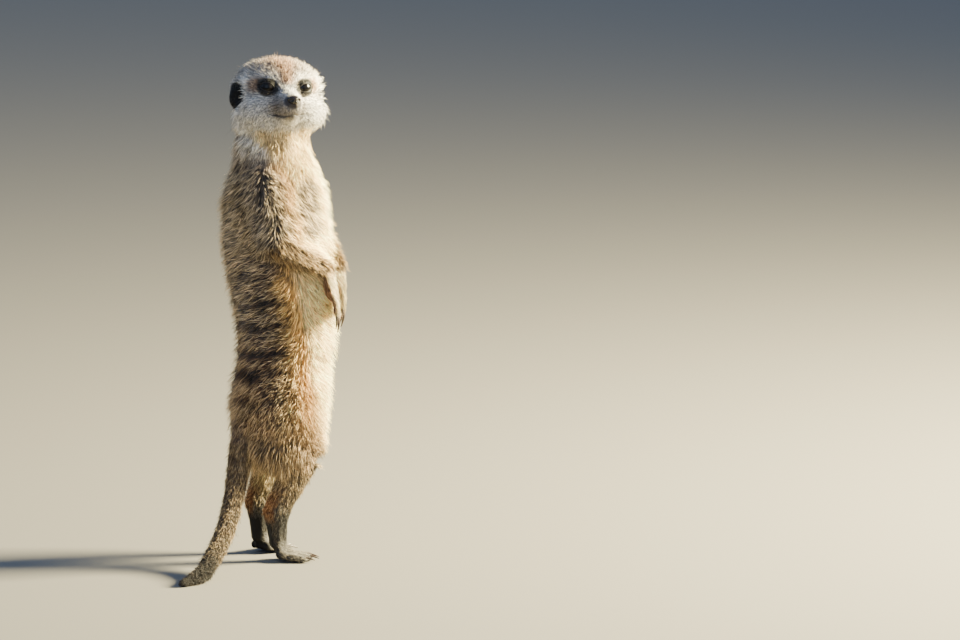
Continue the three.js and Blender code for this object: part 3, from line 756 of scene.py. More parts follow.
def coat_colour_group():
    """Turns a tuft's tone, place along its length and own chance into its colour."""
    group = bpy.data.node_groups.new("banded hair", "ShaderNodeTree")
    for name, kind in (("Tone", "Color"), ("Along", "Float"), ("Chance", "Float")):
        group.interface.new_socket(name, in_out="INPUT", socket_type=f"NodeSocket{kind}")
    group.interface.new_socket("Colour", in_out="OUTPUT", socket_type="NodeSocketColor")
    inner = place(group, "NodeGroupInput")
    outer = place(group, "NodeGroupOutput")
    bands = place(group, "ShaderNodeValToRGB")
    ramp = bands.color_ramp
    ramp.elements[0].position, ramp.elements[0].color = 0.0, (0.05, 0.04, 0.035, 1)
    ramp.elements[1].position, ramp.elements[1].color = 1.0, (1.9, 1.85, 1.75, 1)
    for at, colour in ((0.35, (0.16, 0.13, 0.11)), (0.5, (0.38, 0.34, 0.3)), (0.68, (1.0, 0.96, 0.9))):
        ramp.elements.new(at).color = (*colour, 1)
    tone = place(group, "ShaderNodeMix", data_type="RGBA", blend_type="MULTIPLY")
    tone.inputs["Factor"].default_value = 1.0
    chance = place(group, "ShaderNodeMapRange")
    chance.inputs["To Min"].default_value = 0.5
    chance.inputs["To Max"].default_value = 1.4
    vary = place(group, "ShaderNodeVectorMath", operation="SCALE")
    group.links.new(inner.outputs["Along"], bands.inputs["Fac"])
    group.links.new(inner.outputs["Tone"], tone.inputs[6])
    group.links.new(bands.outputs["Color"], tone.inputs[7])
    group.links.new(inner.outputs["Chance"], chance.inputs["Value"])
    group.links.new(tone.outputs[2], vary.inputs[0])
    group.links.new(chance.outputs["Result"], vary.inputs["Scale"])
    group.links.new(vary.outputs[0], outer.inputs["Colour"])
    return group


def attribute(tree, name):
    return place(tree, "ShaderNodeAttribute", attribute_name=name)


def coat_material(group):
    material, tree, shader = new_material("coat", Roughness=0.62, Specular_IOR_Level=0.3)
    shader.inputs["Sheen Weight"].default_value = 0.12
    shader.inputs["Sheen Roughness"].default_value = 0.5
    hair = place(tree, "ShaderNodeGroup", node_tree=group)
    tree.links.new(attribute(tree, "tone").outputs["Color"], hair.inputs["Tone"])
    tree.links.new(attribute(tree, "along").outputs["Fac"], hair.inputs["Along"])
    tree.links.new(attribute(tree, "chance").outputs["Fac"], hair.inputs["Chance"])
    tree.links.new(hair.outputs["Colour"], shader.inputs["Base Color"])
    return material


def skin_material():
    """Close short hair and bare skin in the coat's own tones, uneven and finely ridged."""
    material, tree, shader = new_material("skin", Roughness=0.7, Specular_IOR_Level=0.25)
    coords = place(tree, "ShaderNodeTexCoord")
    mottle = place(tree, "ShaderNodeTexNoise")
    mottle.inputs["Scale"].default_value = 900
    mottle.inputs["Detail"].default_value = 3
    shade = place(tree, "ShaderNodeMapRange")
    shade.inputs["To Min"].default_value = 0.45
    shade.inputs["To Max"].default_value = 1.0
    tinted = place(tree, "ShaderNodeVectorMath", operation="SCALE")
    relief = place(tree, "ShaderNodeBump")
    relief.inputs["Strength"].default_value = 0.5
    relief.inputs["Distance"].default_value = 0.0004
    tree.links.new(coords.outputs["Object"], mottle.inputs["Vector"])
    tree.links.new(mottle.outputs["Fac"], shade.inputs["Value"])
    tree.links.new(attribute(tree, "tone").outputs["Color"], tinted.inputs[0])
    tree.links.new(shade.outputs["Result"], tinted.inputs["Scale"])
    tree.links.new(tinted.outputs[0], shader.inputs["Base Color"])
    tree.links.new(mottle.outputs["Fac"], relief.inputs["Height"])
    tree.links.new(relief.outputs["Normal"], shader.inputs["Normal"])
    return material


def eye_material():
    material, tree, shader = new_material("eye", Roughness=0.25, Specular_IOR_Level=0.1)
    shader.inputs["Coat Weight"].default_value = 0.5
    shader.inputs["Coat Roughness"].default_value = 0.02
    shader.inputs["Coat IOR"].default_value = 1.3
    iris = place(tree, "ShaderNodeValToRGB")
    ramp = iris.color_ramp
    ramp.elements[0].position, ramp.elements[0].color = 0.30, (0.002, 0.0015, 0.0015, 1)
    ramp.elements[1].position, ramp.elements[1].color = 0.85, (0.005, 0.004, 0.0035, 1)
    ramp.elements.new(0.4).color = (0.006, 0.0042, 0.0034, 1)
    ramp.elements.new(0.68).color = (0.004, 0.003, 0.0026, 1)
    tree.links.new(attribute(tree, "from_pupil").outputs["Fac"], iris.inputs["Fac"])
    tree.links.new(iris.outputs["Color"], shader.inputs["Base Color"])
    return material


def horn_material(name, pale, dark, roughness, scale, depth):
    """Claw, nose or lid: dark with paler flecks and a fine relief."""
    material, tree, shader = new_material(name, Roughness=roughness, Specular_IOR_Level=0.45)
    coords = place(tree, "ShaderNodeTexCoord")
    cells = place(tree, "ShaderNodeTexVoronoi")
    cells.inputs["Scale"].default_value = scale
    tones = place(tree, "ShaderNodeValToRGB")
    tones.color_ramp.elements[0].color = (*linear(dark), 1)
    tones.color_ramp.elements[1].color = (*linear(pale), 1)
    relief = place(tree, "ShaderNodeBump")
    relief.inputs["Strength"].default_value = 0.6
    relief.inputs["Distance"].default_value = depth
    tree.links.new(coords.outputs["Object"], cells.inputs["Vector"])
    tree.links.new(cells.outputs["Distance"], tones.inputs["Fac"])
    tree.links.new(cells.outputs["Distance"], relief.inputs["Height"])
    tree.links.new(tones.outputs["Color"], shader.inputs["Base Color"])
    tree.links.new(relief.outputs["Normal"], shader.inputs["Normal"])
    return material


# ------------------------------------------------------------------ meshes from arrays


def mesh_from(name, points, faces):
    """An object from points in millimetres and faces that all have the same number of corners."""
    mesh = bpy.data.meshes.new(name)
    count, sides = faces.shape
    mesh.vertices.add(len(points))
    mesh.vertices.foreach_set("co", (points * MM).astype(np.float32).ravel())
    mesh.loops.add(count * sides)
    mesh.loops.foreach_set("vertex_index", faces.astype(np.int32).ravel())
    mesh.polygons.add(count)
    mesh.polygons.foreach_set("loop_start", np.arange(0, count * sides, sides, dtype=np.int32))
    mesh.polygons.foreach_set("use_smooth", np.full(count, True))
    mesh.update(calc_edges=True)
    return in_scene(name, mesh)


def carry(mesh, name, values):
    """A value or colour for each point of a mesh."""
    if values.ndim == 1:
        layer = mesh.attributes.new(name, "FLOAT", "POINT")
        layer.data.foreach_set("value", values.astype(np.float32))
    else:
        layer = mesh.attributes.new(name, "FLOAT_COLOR", "POINT")
        full = np.concatenate([values, np.ones((len(values), 1))], 1)
        layer.data.foreach_set("color", full.astype(np.float32).ravel())


# ------------------------------------------------------------------ tufts

# One tuft is a bent spindle: its root under the skin, three corners where it is widest, and the tip.
TUFT_FACES = np.array([[0, 2, 1], [0, 3, 2], [0, 1, 3], [1, 2, 4], [2, 3, 4], [3, 1, 4]])
# One spike has three corners round its root, and the tip.
SPIKE_FACES = np.array([[0, 2, 1], [0, 1, 3], [1, 2, 3], [2, 0, 3]])


def on_floor(corners):
    """Keeps hair that meets the floor lying on it."""
    corners[..., 2] = np.maximum(corners[..., 2], 0.25)
    return corners


def banded(along, plain):
    """The place along its hair of each corner of each tuft; plain tufts have little of the dark base."""
    return (np.array(along) * (1 - plain[:, None]) + 0.72 * plain[:, None]).ravel()


def map_tufts(mesh, spots, flat, patch):
    """Gives each tuft a small patch of its own at its root's place on the skin's unwrap."""
    local = (np.array(flat) / [3, 2] - 0.5) * patch
    places = (spots[:, None] + local[None]).reshape(-1, 2)
    mesh.uv_layers.new(name="OFBake")
    mesh.uv_layers["OFBake"].data.foreach_set("uv", places.astype(np.float32).ravel())


def tufts_from(name, corners, plan, along, flat, patch, tones, chances, plain, spots):
    """Many tufts of one plan as one mesh, with the values that the coat's material reads."""
    count, sides = corners.shape[:2]
    faces = (plan[None] + sides * np.arange(count)[:, None, None]).reshape(-1, 3)
    tuft = mesh_from(name, on_floor(corners).reshape(-1, 3), faces)
    carry(tuft.data, "tone", np.repeat(tones, sides, 0))
    carry(tuft.data, "along", banded(along, plain))
    carry(tuft.data, "chance", np.repeat(chances, sides))
    map_tufts(tuft.data, spots, flat, patch)
    return tuft


def make_tufts(name, roots, normals, ways, tips, sizes, *carried):
    """Solid tapered locks that rise from the skin and bend over to lie along it."""
    width, height = sizes[:, :1], sizes[:, 1:]
    across = unit(np.cross(normals, ways))
    reach = tips - roots
    bend = roots + reach * 0.46 + normals * (0.6 * height - 0.46 * (reach * normals).sum(1, keepdims=True))
    corners = np.empty((len(roots), 5, 3))
    corners[:, 0] = roots - normals * 0.4 - ways * 0.1
    corners[:, 1] = bend - across * width * 0.5 - normals * width * 0.16
    corners[:, 2] = bend + across * width * 0.5 - normals * width * 0.16
    corners[:, 3] = bend + normals * width * 0.34
    corners[:, 4] = tips
    along = [0, 0.5, 0.5, 0.5, 1.0]
    flat = [[0.5, 0], [1, 1], [0, 1], [1.5, 0], [2, 1], [1, 1], [2.5, 0], [3, 1], [2, 1]]
    flat += [[0, 1], [1, 1], [0.5, 2], [1, 1], [2, 1], [1.5, 2], [2, 1], [3, 1], [2.5, 2]]
    return tufts_from(name, corners, TUFT_FACES, along, flat, TUFT_PATCH, *carried)


def straight_tufts(name, roots, normals, ways, tips, sizes, *carried):
    """Short plain spikes for the close hair of face, hands and feet."""
    width = sizes[:, :1]
    across = unit(np.cross(normals, ways))
    corners = np.empty((len(roots), 4, 3))
    root = roots - normals * 0.3
    corners[:, 0] = root - across * width * 0.5
    corners[:, 1] = root + across * width * 0.5
    corners[:, 2] = root + normals * width * 0.45 + ways * width * 0.3
    corners[:, 3] = tips
    along = [0.1, 0.1, 0.2, 1.0]
    flat = [[0, 0], [2, 0], [1, -0.4], [0, 0], [1, 0], [1, 2]]
    flat += [[1, 0], [2, 0], [1.4, 2], [2, 0], [3, 0], [2.2, 2]]
    return tufts_from(name, corners, SPIKE_FACES, along, flat, TUFT_PATCH * 0.8, *carried)


def scattered(surface, number, rng):
    """Picks places on the skin: the triangle of each, and its corners' shares."""
    a, b, c = (surface.points[surface.triangles[:, k]] for k in range(3))
    area = np.linalg.norm(np.cross(b - a, c - a), axis=1) / 2
    wanted = area * number[surface.triangles].mean(1)
    count = np.floor(wanted + rng.random(len(wanted))).astype(int)
    where = np.repeat(np.arange(len(wanted)), count)
    return where, rng.dirichlet((1, 1, 1), len(where))


def bare_skin(surface, node_numbers, normals):
    """How much coat each point carries: 0 on lids, nose, lips, soles and inside the ears, 1 elsewhere."""
    points = surface.points
    cover = np.ones(len(points))
    for side in EYES:
        centre, axes = eye_frame(side)
        local = (points - centre) @ axes.T
        near = (np.linalg.norm(local, axis=1) < 9) & (local[:, 0] > 0)
        cover *= np.where(near, step(1.3, 1.9, in_opening(local)), 1)
        ear = on_nodes(node_numbers, f"ear_{side}")
        cover[ear] *= 0.5 + 0.5 * step(-0.1, -0.6, normals[ear] @ FORWARD)
    from_nose = np.linalg.norm((in_head(points) - NOSE_MIDDLE) / NOSE_SIZE, axis=1)
    cover *= step(1.2, 1.6, from_nose)
    cover *= 1 - mouth_groove(points)
    foot = np.isin(region_of(node_numbers), ["foot", "shank"])
    under = (foot & (normals[:, 2] < -0.6) & (points[:, 2] < 8)) | (points[:, 2] < 0.8)
    for side in EYES:
        back = -normals @ toes_way(side) > 0.5
        sole = foot & back & (points[:, 2] < 26) & ((points[:, 1] < SHIFT[1]) == (side == "right"))
        cover[sole] = 0
    cover[under] = 0
    return cover


def flat_on(normals, ways):
    """The ways turned to lie along the surface."""
    return unit(ways - normals * (ways * normals).sum(1, keepdims=True))


def lay_of_coat(surface, node_numbers, normals):
    ways = coat_ways(surface.points, node_numbers, normals)
    ways = flat_on(normals, surface.spread(unit(ways), 24))
    ways = flat_on(normals, surface.spread(ways, 6))
    turn = 0.34 * ripple(surface.points, 26, 41) + 0.16 * ripple(surface.points, 9, 42)
    turn = turn[:, None]
    return ways * np.cos(turn) + np.cross(normals, ways) * np.sin(turn)


def drawn_in(tips, allowed, surface, normals):
    """Brings tips that stand too far off the skin nearest to them back to the height allowed."""
    nearest = nearest_of(surface.points, tips)
    outward = normals[nearest]
    over = ((tips - surface.points[nearest]) * outward).sum(1) - allowed
    return tips - outward * np.maximum(over, 0)[:, None]


def into_locks(roots, ways, size, rng):
    """For each tuft the sideways pull towards the middle of its lock, and the lock's number."""
    count = max(int(len(roots) / size), 1)
    seeds = rng.choice(len(roots), count, replace=False)
    lock = nearest_of(roots[seeds], roots)
    aside = roots[seeds[lock]] - roots
    aside -= ways * (aside * ways).sum(1, keepdims=True)
    return aside, lock, count


# How mixed the hairs' tones are in the regions where that doesn't change with the place.
CALM = dict(shank=0.6, hand=0.4, foot=0.4, forearm=0.5, upper_arm=0.75)
CALM.update(head=0.3, muzzle=0.3, ear=0.2, tail=0.5)


def grizzle(points, node_numbers):
    """How mixed the hairs' tones are: strong on the back, weak on cream parts and face."""
    names = region_of(node_numbers)
    back = 1 - 0.85 * step(-0.35, 0.35, belly_side(points))
    neck = (names == "neck") * step(255, 270, points[:, 2])
    back *= 1 - 0.45 * neck
    back *= 1 - 0.35 * np.isin(names, ["trunk", "thigh"]) * step(105, 80, points[:, 2])
    for region, share in CALM.items():
        back = np.where(names == region, share, back)
    return np.maximum(back, 0.6 * beside_left_arm(points) * (names == "trunk"))


def from_ears(points):
    """How far each point is from the nearer ear; the left one lies deeper in the fur."""
    right, left = (np.linalg.norm(points - middle(f"ear_{side}"), axis=1) for side in ("right", "left"))
    return np.minimum(right, left + 9)


def hollows(surface, normals, times):
    """1 in the creases of the form, 0 where it is full."""
    sunk = ((surface.spread(surface.points, 24) - surface.points) * normals).sum(1)
    return surface.spread(step(0.3, 1.6, sunk), times)


def coat_values(surface, node_numbers, normals):
    """The coat's values at each point of the skin, with what changes inside a region."""
    points, height = surface.points, surface.points[:, 2]
    value = {}
    for key in ("length", "width", "lift", "number", "depth"):
        value[key] = surface.spread(by_region(points, node_numbers, key), 12)

    def add(where, **amounts):
        for key, amount in amounts.items():
            value[key] += amount * where

    def lessen(where, **shares):
        for key, share in shares.items():
            value[key] *= 1 - share * where

    ahead, across, up = in_head(points).T
    on_head = on_nodes(node_numbers, "head", "neck")
    lessen(on_head * step(19, 11, from_ears(points)), length=0.55, lift=0.5)
    cheek = on_head * bump(-11, 7, ahead) * bump(24.5, 6, across) * bump(-3, 7, up)
    add(cheek, length=2.2, lift=0.2, depth=1.6)
    under_jaw = on_head * bump(286, 8, height) * step(6, 14, across)
    lessen(under_jaw, length=0.25, lift=0.5, depth=0.6)
    spine = step(-0.6, -0.95, belly_side(points)) * bump(200, 75, height)
    add(spine * on_nodes(node_numbers, "chest", "belly", "rump"), lift=0.08)
    hanging = step(88, 76, height) * step(0.15, -0.6, normals[:, 2]) * step(0.1, -0.3, normals[:, 0])
    add(hanging * on_nodes(node_numbers, *SEAT), length=8, lift=0.55, depth=9)
    behind = bump(66, 24, height) * step(0.1, 0.6, -normals[:, 0])
    add(behind * on_nodes(node_numbers, "shank_left", "thigh_left"), length=4, lift=0.3, depth=3)
    tail_end = step(16, 3, np.linalg.norm(points - TAIL_LINE[-1], axis=1))
    lessen(tail_end * (region_of(node_numbers) == "tail"), length=0.55)
    return value


def hair_tones(own, mixed, chance, guard, lock_chance, crease_light):
    """The tone of each tuft: dark, pale or plain by chance where the coat is mixed, and alike in a lock;
    tufts in the creases are made paler, painted light against the creases' shade.
    """
    dark = (chance < DARK_BELOW) * mixed
    pale = np.maximum(chance > PALE_ABOVE, guard) * mixed
    tones = own * ((1 - 0.64 * mixed) * (1 - 0.55 * dark) * (1 + 3.2 * pale))[:, None]
    tones = mix(tones, TONES["cream"], 0.5 * pale * step(0.0, 0.12, own[:, 1]))
    by_lock = (lock_chance - 0.45) * (0.25 + 0.75 * mixed)
    return np.clip(tones * ((1 + by_lock) * (1 + 0.8 * crease_light))[:, None], 0, 1)


def make_coat(surface, node_numbers, shares, normals, spots_on_map, material):
    """The coat's pieces, each with its slot."""
    rng = np.random.default_rng(SEED)
    cover = bare_skin(surface, node_numbers, normals)
    value = coat_values(surface, node_numbers, normals)
    where, share = scattered(surface, value["number"] * cover, rng)
    corners = surface.triangles[where]

    def at(values):
        return weighed(values[corners], share)

    roots, outward = at(surface.points), unit(at(normals))
    ways = flat_on(outward, at(lay_of_coat(surface, node_numbers, normals)))
    owner = node_numbers[corners[np.arange(len(where)), share.argmax(1)]]
    on_head = on_nodes(owner, "head", "neck")
    count = len(roots)

    aside, lock, locks = into_locks(roots, ways, TUFTS_IN_A_LOCK, rng)
    length = at(value["length"]) * np.exp(rng.normal(0, 0.16, count))
    length *= 1 + 0.1 * rng.normal(size=locks)[lock]
    length *= np.clip(at(cover) * 1.3, 0.35, 1)
    lift = at(value["lift"]) * (1 + 0.25 * rng.normal(size=locks)[lock] + 0.3 * rng.normal(size=count))
    guard = rng.random(count) < GUARD_SHARE
    lift = np.clip(np.where(guard, lift * 1.7, lift), 0.04, 0.85)
    length = np.where(guard, length * (1.3 + 0.3 * on_head), length)
    width = at(value["width"]) * rng.uniform(0.7, 1.25, count) * np.where(guard, 0.66, 1)
    turn = (0.24 * rng.normal(size=count))[:, None]
    ways = ways * np.cos(turn) + np.cross(outward, ways) * np.sin(turn)
    ways = unit(ways + aside * (0.7 / np.maximum(length, 1))[:, None])
    own = markings(roots + ways * (0.5 * length)[:, None], at(shares), outward)
    mixed = grizzle(roots, owner)
    chance = rng.random(count)
    # paler tufts in the creases below the head: painted light against the creases' shade
    crease_light = at(hollows(surface, normals, 4)) * step(290, 280, roots[:, 2])
    tones = hair_tones(own, mixed, chance, guard, rng.random(locks)[lock], crease_light)
    chances = rng.random(count)
    plain = 0.85 * (1 - mixed)

    loose = np.isin(region_of(owner), LOOSE) & (chance < np.where(on_head, LOOSE_ON_HEAD, LOOSE_SHARE))
    near_ear = step(12, 22, from_ears(surface.points))
    fringe = on_nodes(owner, "head") * at(near_ear) * step(284, 292, roots[:, 2])
    highest = at(value["depth"]) * np.where(guard, 1.55 + 0.8 * fringe, 1.0) + 0.2 + 2.8 * loose
    length, lift = np.where(loose, 1.2 * length, length), np.where(loose, 0.8, lift)
    width = np.where(loose, 0.4 * width, width)
    height = np.minimum(length * lift, highest)
    run = np.sqrt(np.maximum(length**2 - height**2, (0.3 * length) ** 2))
    tips = roots + ways * run[:, None] + outward * height[:, None]
    tips = drawn_in(tips, 1.1 * height + 0.2, surface, normals)
    sizes = np.stack([width, height], 1)
    spots = weighed(spots_on_map[where], share)
    each = (roots, outward, ways, tips, sizes, tones, chances, plain, spots)
    return in_pieces(region_of(owner), each, material)


def in_pieces(regions, each, material):
    """The tufts as objects, each part of the coat shared out from its lowest root up."""
    heights = each[0][:, 2]
    pieces = []
    for name, chosen, shape, slot in coat_parts(regions):
        limit = SPIKES_IN_A_PIECE if shape is straight_tufts else TUFTS_IN_A_PIECE
        members = np.flatnonzero(chosen)
        order = members[np.argsort(heights[members], kind="stable")]
        for number, group in enumerate(np.array_split(order, -(-len(order) // limit))):
            piece = shape(f"{name}_{number + 1}", *(values[group] for values in each))
            piece.data.materials.append(material)
            pieces.append((piece, slot))
    return pieces


def coat_parts(regions):
    """Name, chosen tufts, kind of tuft and material slot of each part of the coat."""
    for name, chosen, shape, slot in (
        ("coat_head", ["head"], make_tufts, "face_coat"),
        ("coat_face", ["muzzle", "ear"], straight_tufts, "face_coat"),
        ("coat_trunk", ["trunk", "neck"], make_tufts, "body_coat"),
        ("coat_arms", ["upper_arm", "forearm"], make_tufts, "limb_coat"),
        ("coat_legs", ["thigh", "shank"], make_tufts, "limb_coat"),
        ("coat_paws", ["hand", "foot"], straight_tufts, "limb_coat"),
        ("coat_tail", ["tail"], make_tufts, "dark_coat"),
    ):
        yield name, np.isin(regions, chosen), shape, slot


# ------------------------------------------------------------------ skin, eyes, nose, claws, whiskers


def shaped_skin():
    """The skin's points and faces, its nodes by number, and its normals."""
    mesh = one_closed_mesh()
    shape = bmesh.new()
    shape.from_mesh(mesh)
    bpy.data.meshes.remove(mesh)
    keep_outer_shell(shape)
    refine_face(shape)
    bmesh.ops.triangulate(shape, faces=shape.faces)
    surface = Surface(shape)
    shape.free()
    node_numbers = nearest_node(surface.points)
    smooth = surface.spread(by_region(surface.points, node_numbers, "smooth"), 16)
    surface.relax(smooth, 26)
    normals = surface.spread(surface.normals(), 6)
    depth = surface.spread(by_region(surface.points, node_numbers, "depth"), 24)
    depth *= 0.35 + 0.65 * step(6, 14, distance_to(surface.points, "eye"))
    depth *= 0.45 + 0.55 * step(8, 17, distance_to(surface.points, "ear"))
    depth *= 1 - 0.85 * (hollows(surface, normals, 6) * step(298, 286, surface.points[:, 2]))
    depth *= step(0.2, 6.0, surface.points[:, 2])
    surface.points -= unit(normals) * depth[:, None]
    surface.relax(smooth * 0.6, 4)
    shape_muzzle(surface, surface.normals())
    shape_lids(surface)
    surface.points[:, 2] = np.maximum(surface.points[:, 2], 0.05)
    return surface, node_numbers, surface.spread(surface.normals(), 2)


def unwrapped(skin):
    """The place of each triangle's corners on an unwrap of the skin."""
    bpy.context.view_layer.objects.active = skin
    skin.select_set(True)
    bpy.ops.object.mode_set(mode="EDIT")
    bpy.ops.mesh.select_all(action="SELECT")
    bpy.ops.uv.smart_project(angle_limit=math.radians(60), island_margin=0.003)
    bpy.ops.object.mode_set(mode="OBJECT")
    skin.select_set(False)
    layer = skin.data.uv_layers.active
    flat = np.empty(len(layer.data) * 2, np.float32)
    layer.data.foreach_get("uv", flat)
    skin.data.uv_layers.remove(layer)
    return flat.reshape(-1, 3, 2).astype(float)


def ball_mesh(name, centre, axes, size, rings, sides, warp):
    """A closed ball whose pole looks along its first axis; warp moves its points in its own axes."""
    theta = np.linspace(0, math.pi, rings + 1)[1:-1]
    phi = np.linspace(0, 2 * math.pi, sides, endpoint=False)
    x = np.repeat(np.cos(theta), sides)
    y = np.outer(np.sin(theta), np.cos(phi)).ravel()
    z = np.outer(np.sin(theta), np.sin(phi)).ravel()
    points = np.concatenate([[[1.0, 0, 0]], np.stack([x, y, z], 1), [[-1.0, 0, 0]]])
    local = warp(points * size)
    faces = []
    for i in range(sides):
        j = (i + 1) % sides
        faces.append([0, 1 + i, 1 + j])
        last = 1 + (rings - 2) * sides
        faces.append([len(points) - 1, last + j, last + i])
        for r in range(rings - 2):
            a, b = 1 + r * sides + i, 1 + r * sides + j
            faces.append([a, a + sides, b + sides])
            faces.append([a, b + sides, b])
    faces = np.array(faces)
    if np.linalg.det(axes) < 0:
        faces = faces[:, ::-1]
    return mesh_from(name, local @ axes + centre, faces), points


def make_eye(side, material):
    centre, axes = eye_frame(side)

    def cornea(local):
        bulge = 0.35 * step(0.62, 0.95, local[:, 0] / EYE_RADIUS)
        return local + np.array([1.0, 0, 0]) * bulge[:, None]

    eye, points = ball_mesh(f"eyeball_{side}", centre, axes, np.full(3, EYE_RADIUS), 40, 48, cornea)
    spread = np.sqrt((points[:, 1] / 1.15) ** 2 + (points[:, 2] / 0.9) ** 2)
    carry(eye.data, "from_pupil", np.where(points[:, 0] > 0, np.clip(spread, 0, 1), 1.0))
    eye.data.materials.append(material)
    return eye


def closed_tube(name, line, outward, radius, sides=8):
    """A round tube along a closed line; outward gives the first side's direction at each point."""
    along = unit(np.roll(line, -1, 0) - np.roll(line, 1, 0))
    first = unit(outward - along * (outward * along).sum(1, keepdims=True))
    second = np.cross(along, first)
    turn = np.linspace(0, 2 * math.pi, sides, endpoint=False)[None, :, None]
    ring = np.cos(turn) * first[:, None] + np.sin(turn) * second[:, None]
    points = (line[:, None] + ring * radius).reshape(-1, 3)
    faces = []
    for i in range(len(line)):
        for k in range(sides):
            a, b = i * sides + k, i * sides + (k + 1) % sides
            c, d = (a + sides) % len(points), (b + sides) % len(points)
            faces += [[a, b, d], [a, d, c]]
    return mesh_from(name, points, np.array(faces))


def make_lid(side, material):
    """The bare dark rim that frames the eye's opening."""
    centre, axes = eye_frame(side)
    turn = np.linspace(0, 2 * math.pi, 72, endpoint=False)
    cos, sin = np.cos(turn), np.sin(turn)
    temple = LID_HALF_WIDTH * np.sign(cos) * np.abs(cos) ** (2 / LID_ROUND_ACROSS)
    height = lid_height(temple, sin > 0)
    up = height * np.sign(sin) * np.abs(sin) ** (2 / LID_ROUND_UP) + LID_SLANT * temple
    radius = EYE_RADIUS + 0.2
    ahead = np.sqrt(np.maximum(radius**2 - temple**2 - up**2, 0.5))
    local = np.stack([ahead, temple, up], 1)
    lid = closed_tube(f"lid_{side}", local @ axes + centre, local @ axes, 0.4)
    if np.linalg.det(axes) < 0:
        lid.data.flip_normals()
    lid.data.materials.append(material)
    return lid


def make_nose(material):
    size = NOSE_SIZE * [1.0, 0.97, 0.92]

    def nostrils(local):
        x, y, z = (local / size).T
        moved = local.copy()
        hole = np.exp(-(((abs(y) - 0.52) / 0.24) ** 2) - (((z + 0.05) / 0.3) ** 2)) * (x > 0)
        slit = np.exp(-(((abs(y) - 0.78) / 0.22) ** 2) - (((z + 0.22) / 0.2) ** 2)) * (x > -0.1)
        cleft = np.exp(-((y / 0.1) ** 2)) * step(0.35, -0.3, z) * (x > 0)
        moved[:, 0] -= 1.9 * hole + 1.0 * slit + 0.5 * cleft
        moved[:, 1] *= 1 - 0.3 * step(0.2, -0.9, z)
        return moved

    centre = from_head(NOSE_MIDDLE + [0.1, 0, 0.3])
    nose, _ = ball_mesh("nose_pad", centre, HEAD_AXES, size, 48, 64, nostrils)
    nose.data.materials.append(material)
    return nose


def make_claws(limb, material):
    """Smooth claws over the faceted ones."""
    nodes = [name for name in CLAWS if name.startswith(f"{limb[0]}_claw_{limb[1]}")]
    holder = in_scene("claws_start", joined_copies(nodes, -0.1 * MM))
    rounding = holder.modifiers.new("rounding", "SUBSURF")
    rounding.levels = rounding.render_levels = 2
    done = made_plain(holder)
    claws = in_scene(f"claws_{limb[0]}_{limb[1]}", done)
    done.shade_smooth()
    done.materials.clear()
    done.materials.append(material)
    return claws, nodes


def whisker_tree():
    """Stands a bent hair on each point of a mesh, along the point's way and as long as its reach."""
    tree = bpy.data.node_groups.new("whiskers", "GeometryNodeTree")
    face = tree.interface
    face.new_socket("Geometry", in_out="INPUT", socket_type="NodeSocketGeometry")
    face.new_socket("Thickness", in_out="INPUT", socket_type="NodeSocketFloat").default_value = 0.008
    face.new_socket("Bend", in_out="INPUT", socket_type="NodeSocketFloat").default_value = 0.2
    face.new_socket("Seed", in_out="INPUT", socket_type="NodeSocketInt").default_value = SEED
    face.new_socket("Material", in_out="INPUT", socket_type="NodeSocketMaterial")
    face.new_socket("Geometry", in_out="OUTPUT", socket_type="NodeSocketGeometry")
    given, result = place(tree, "NodeGroupInput"), place(tree, "NodeGroupOutput")
    join = tree.links.new

    def maths(kind, a, b):
        node = place(tree, "ShaderNodeMath", operation=kind)
        join(a, node.inputs[0])
        join(b, node.inputs[1])
        return node.outputs[0]

    hair = place(tree, "GeometryNodeMeshCone")
    sizes = {"Vertices": 5, "Side Segments": 6, "Radius Top": 0.05, "Radius Bottom": 1, "Depth": 1}
    for name, value in sizes.items():
        hair.inputs[name].default_value = value
    apart = place(tree, "ShaderNodeSeparateXYZ")
    join(place(tree, "GeometryNodeInputPosition").outputs[0], apart.inputs[0])
    x, y, z = apart.outputs
    thick, bend = given.outputs["Thickness"], given.outputs["Bend"]
    curved = maths("MULTIPLY", maths("MULTIPLY", z, z), bend)
    together = place(tree, "ShaderNodeCombineXYZ")
    join(maths("SUBTRACT", maths("MULTIPLY", x, thick), curved), together.inputs[0])
    join(maths("MULTIPLY", y, thick), together.inputs[1])
    join(z, together.inputs[2])
    bent = place(tree, "GeometryNodeSetPosition")
    join(hair.outputs["Mesh"], bent.inputs["Geometry"])
    join(together.outputs[0], bent.inputs["Position"])

    way = place(tree, "GeometryNodeInputNamedAttribute", data_type="FLOAT_VECTOR")
    way.inputs["Name"].default_value = "way"
    aim = place(tree, "FunctionNodeAlignRotationToVector", axis="Z")
    join(way.outputs["Attribute"], aim.inputs["Vector"])
    reach = place(tree, "GeometryNodeInputNamedAttribute", data_type="FLOAT")
    reach.inputs["Name"].default_value = "reach"
    vary = place(tree, "FunctionNodeRandomValue", data_type="FLOAT")
    vary.inputs[2].default_value, vary.inputs[3].default_value = 0.8, 1.1
    join(given.outputs["Seed"], vary.inputs["Seed"])
    stand = place(tree, "GeometryNodeInstanceOnPoints")
    join(given.outputs["Geometry"], stand.inputs["Points"])
    join(bent.outputs["Geometry"], stand.inputs["Instance"])
    join(aim.outputs["Rotation"], stand.inputs["Rotation"])
    join(maths("MULTIPLY", reach.outputs["Attribute"], vary.outputs[1]), stand.inputs["Scale"])
    real = place(tree, "GeometryNodeRealizeInstances")
    finish = place(tree, "GeometryNodeSetMaterial")
    join(stand.outputs["Instances"], real.inputs["Geometry"])
    join(real.outputs["Geometry"], finish.inputs["Geometry"])
    join(given.outputs["Material"], finish.inputs["Material"])
    join(finish.outputs["Geometry"], result.inputs["Geometry"])
    return tree


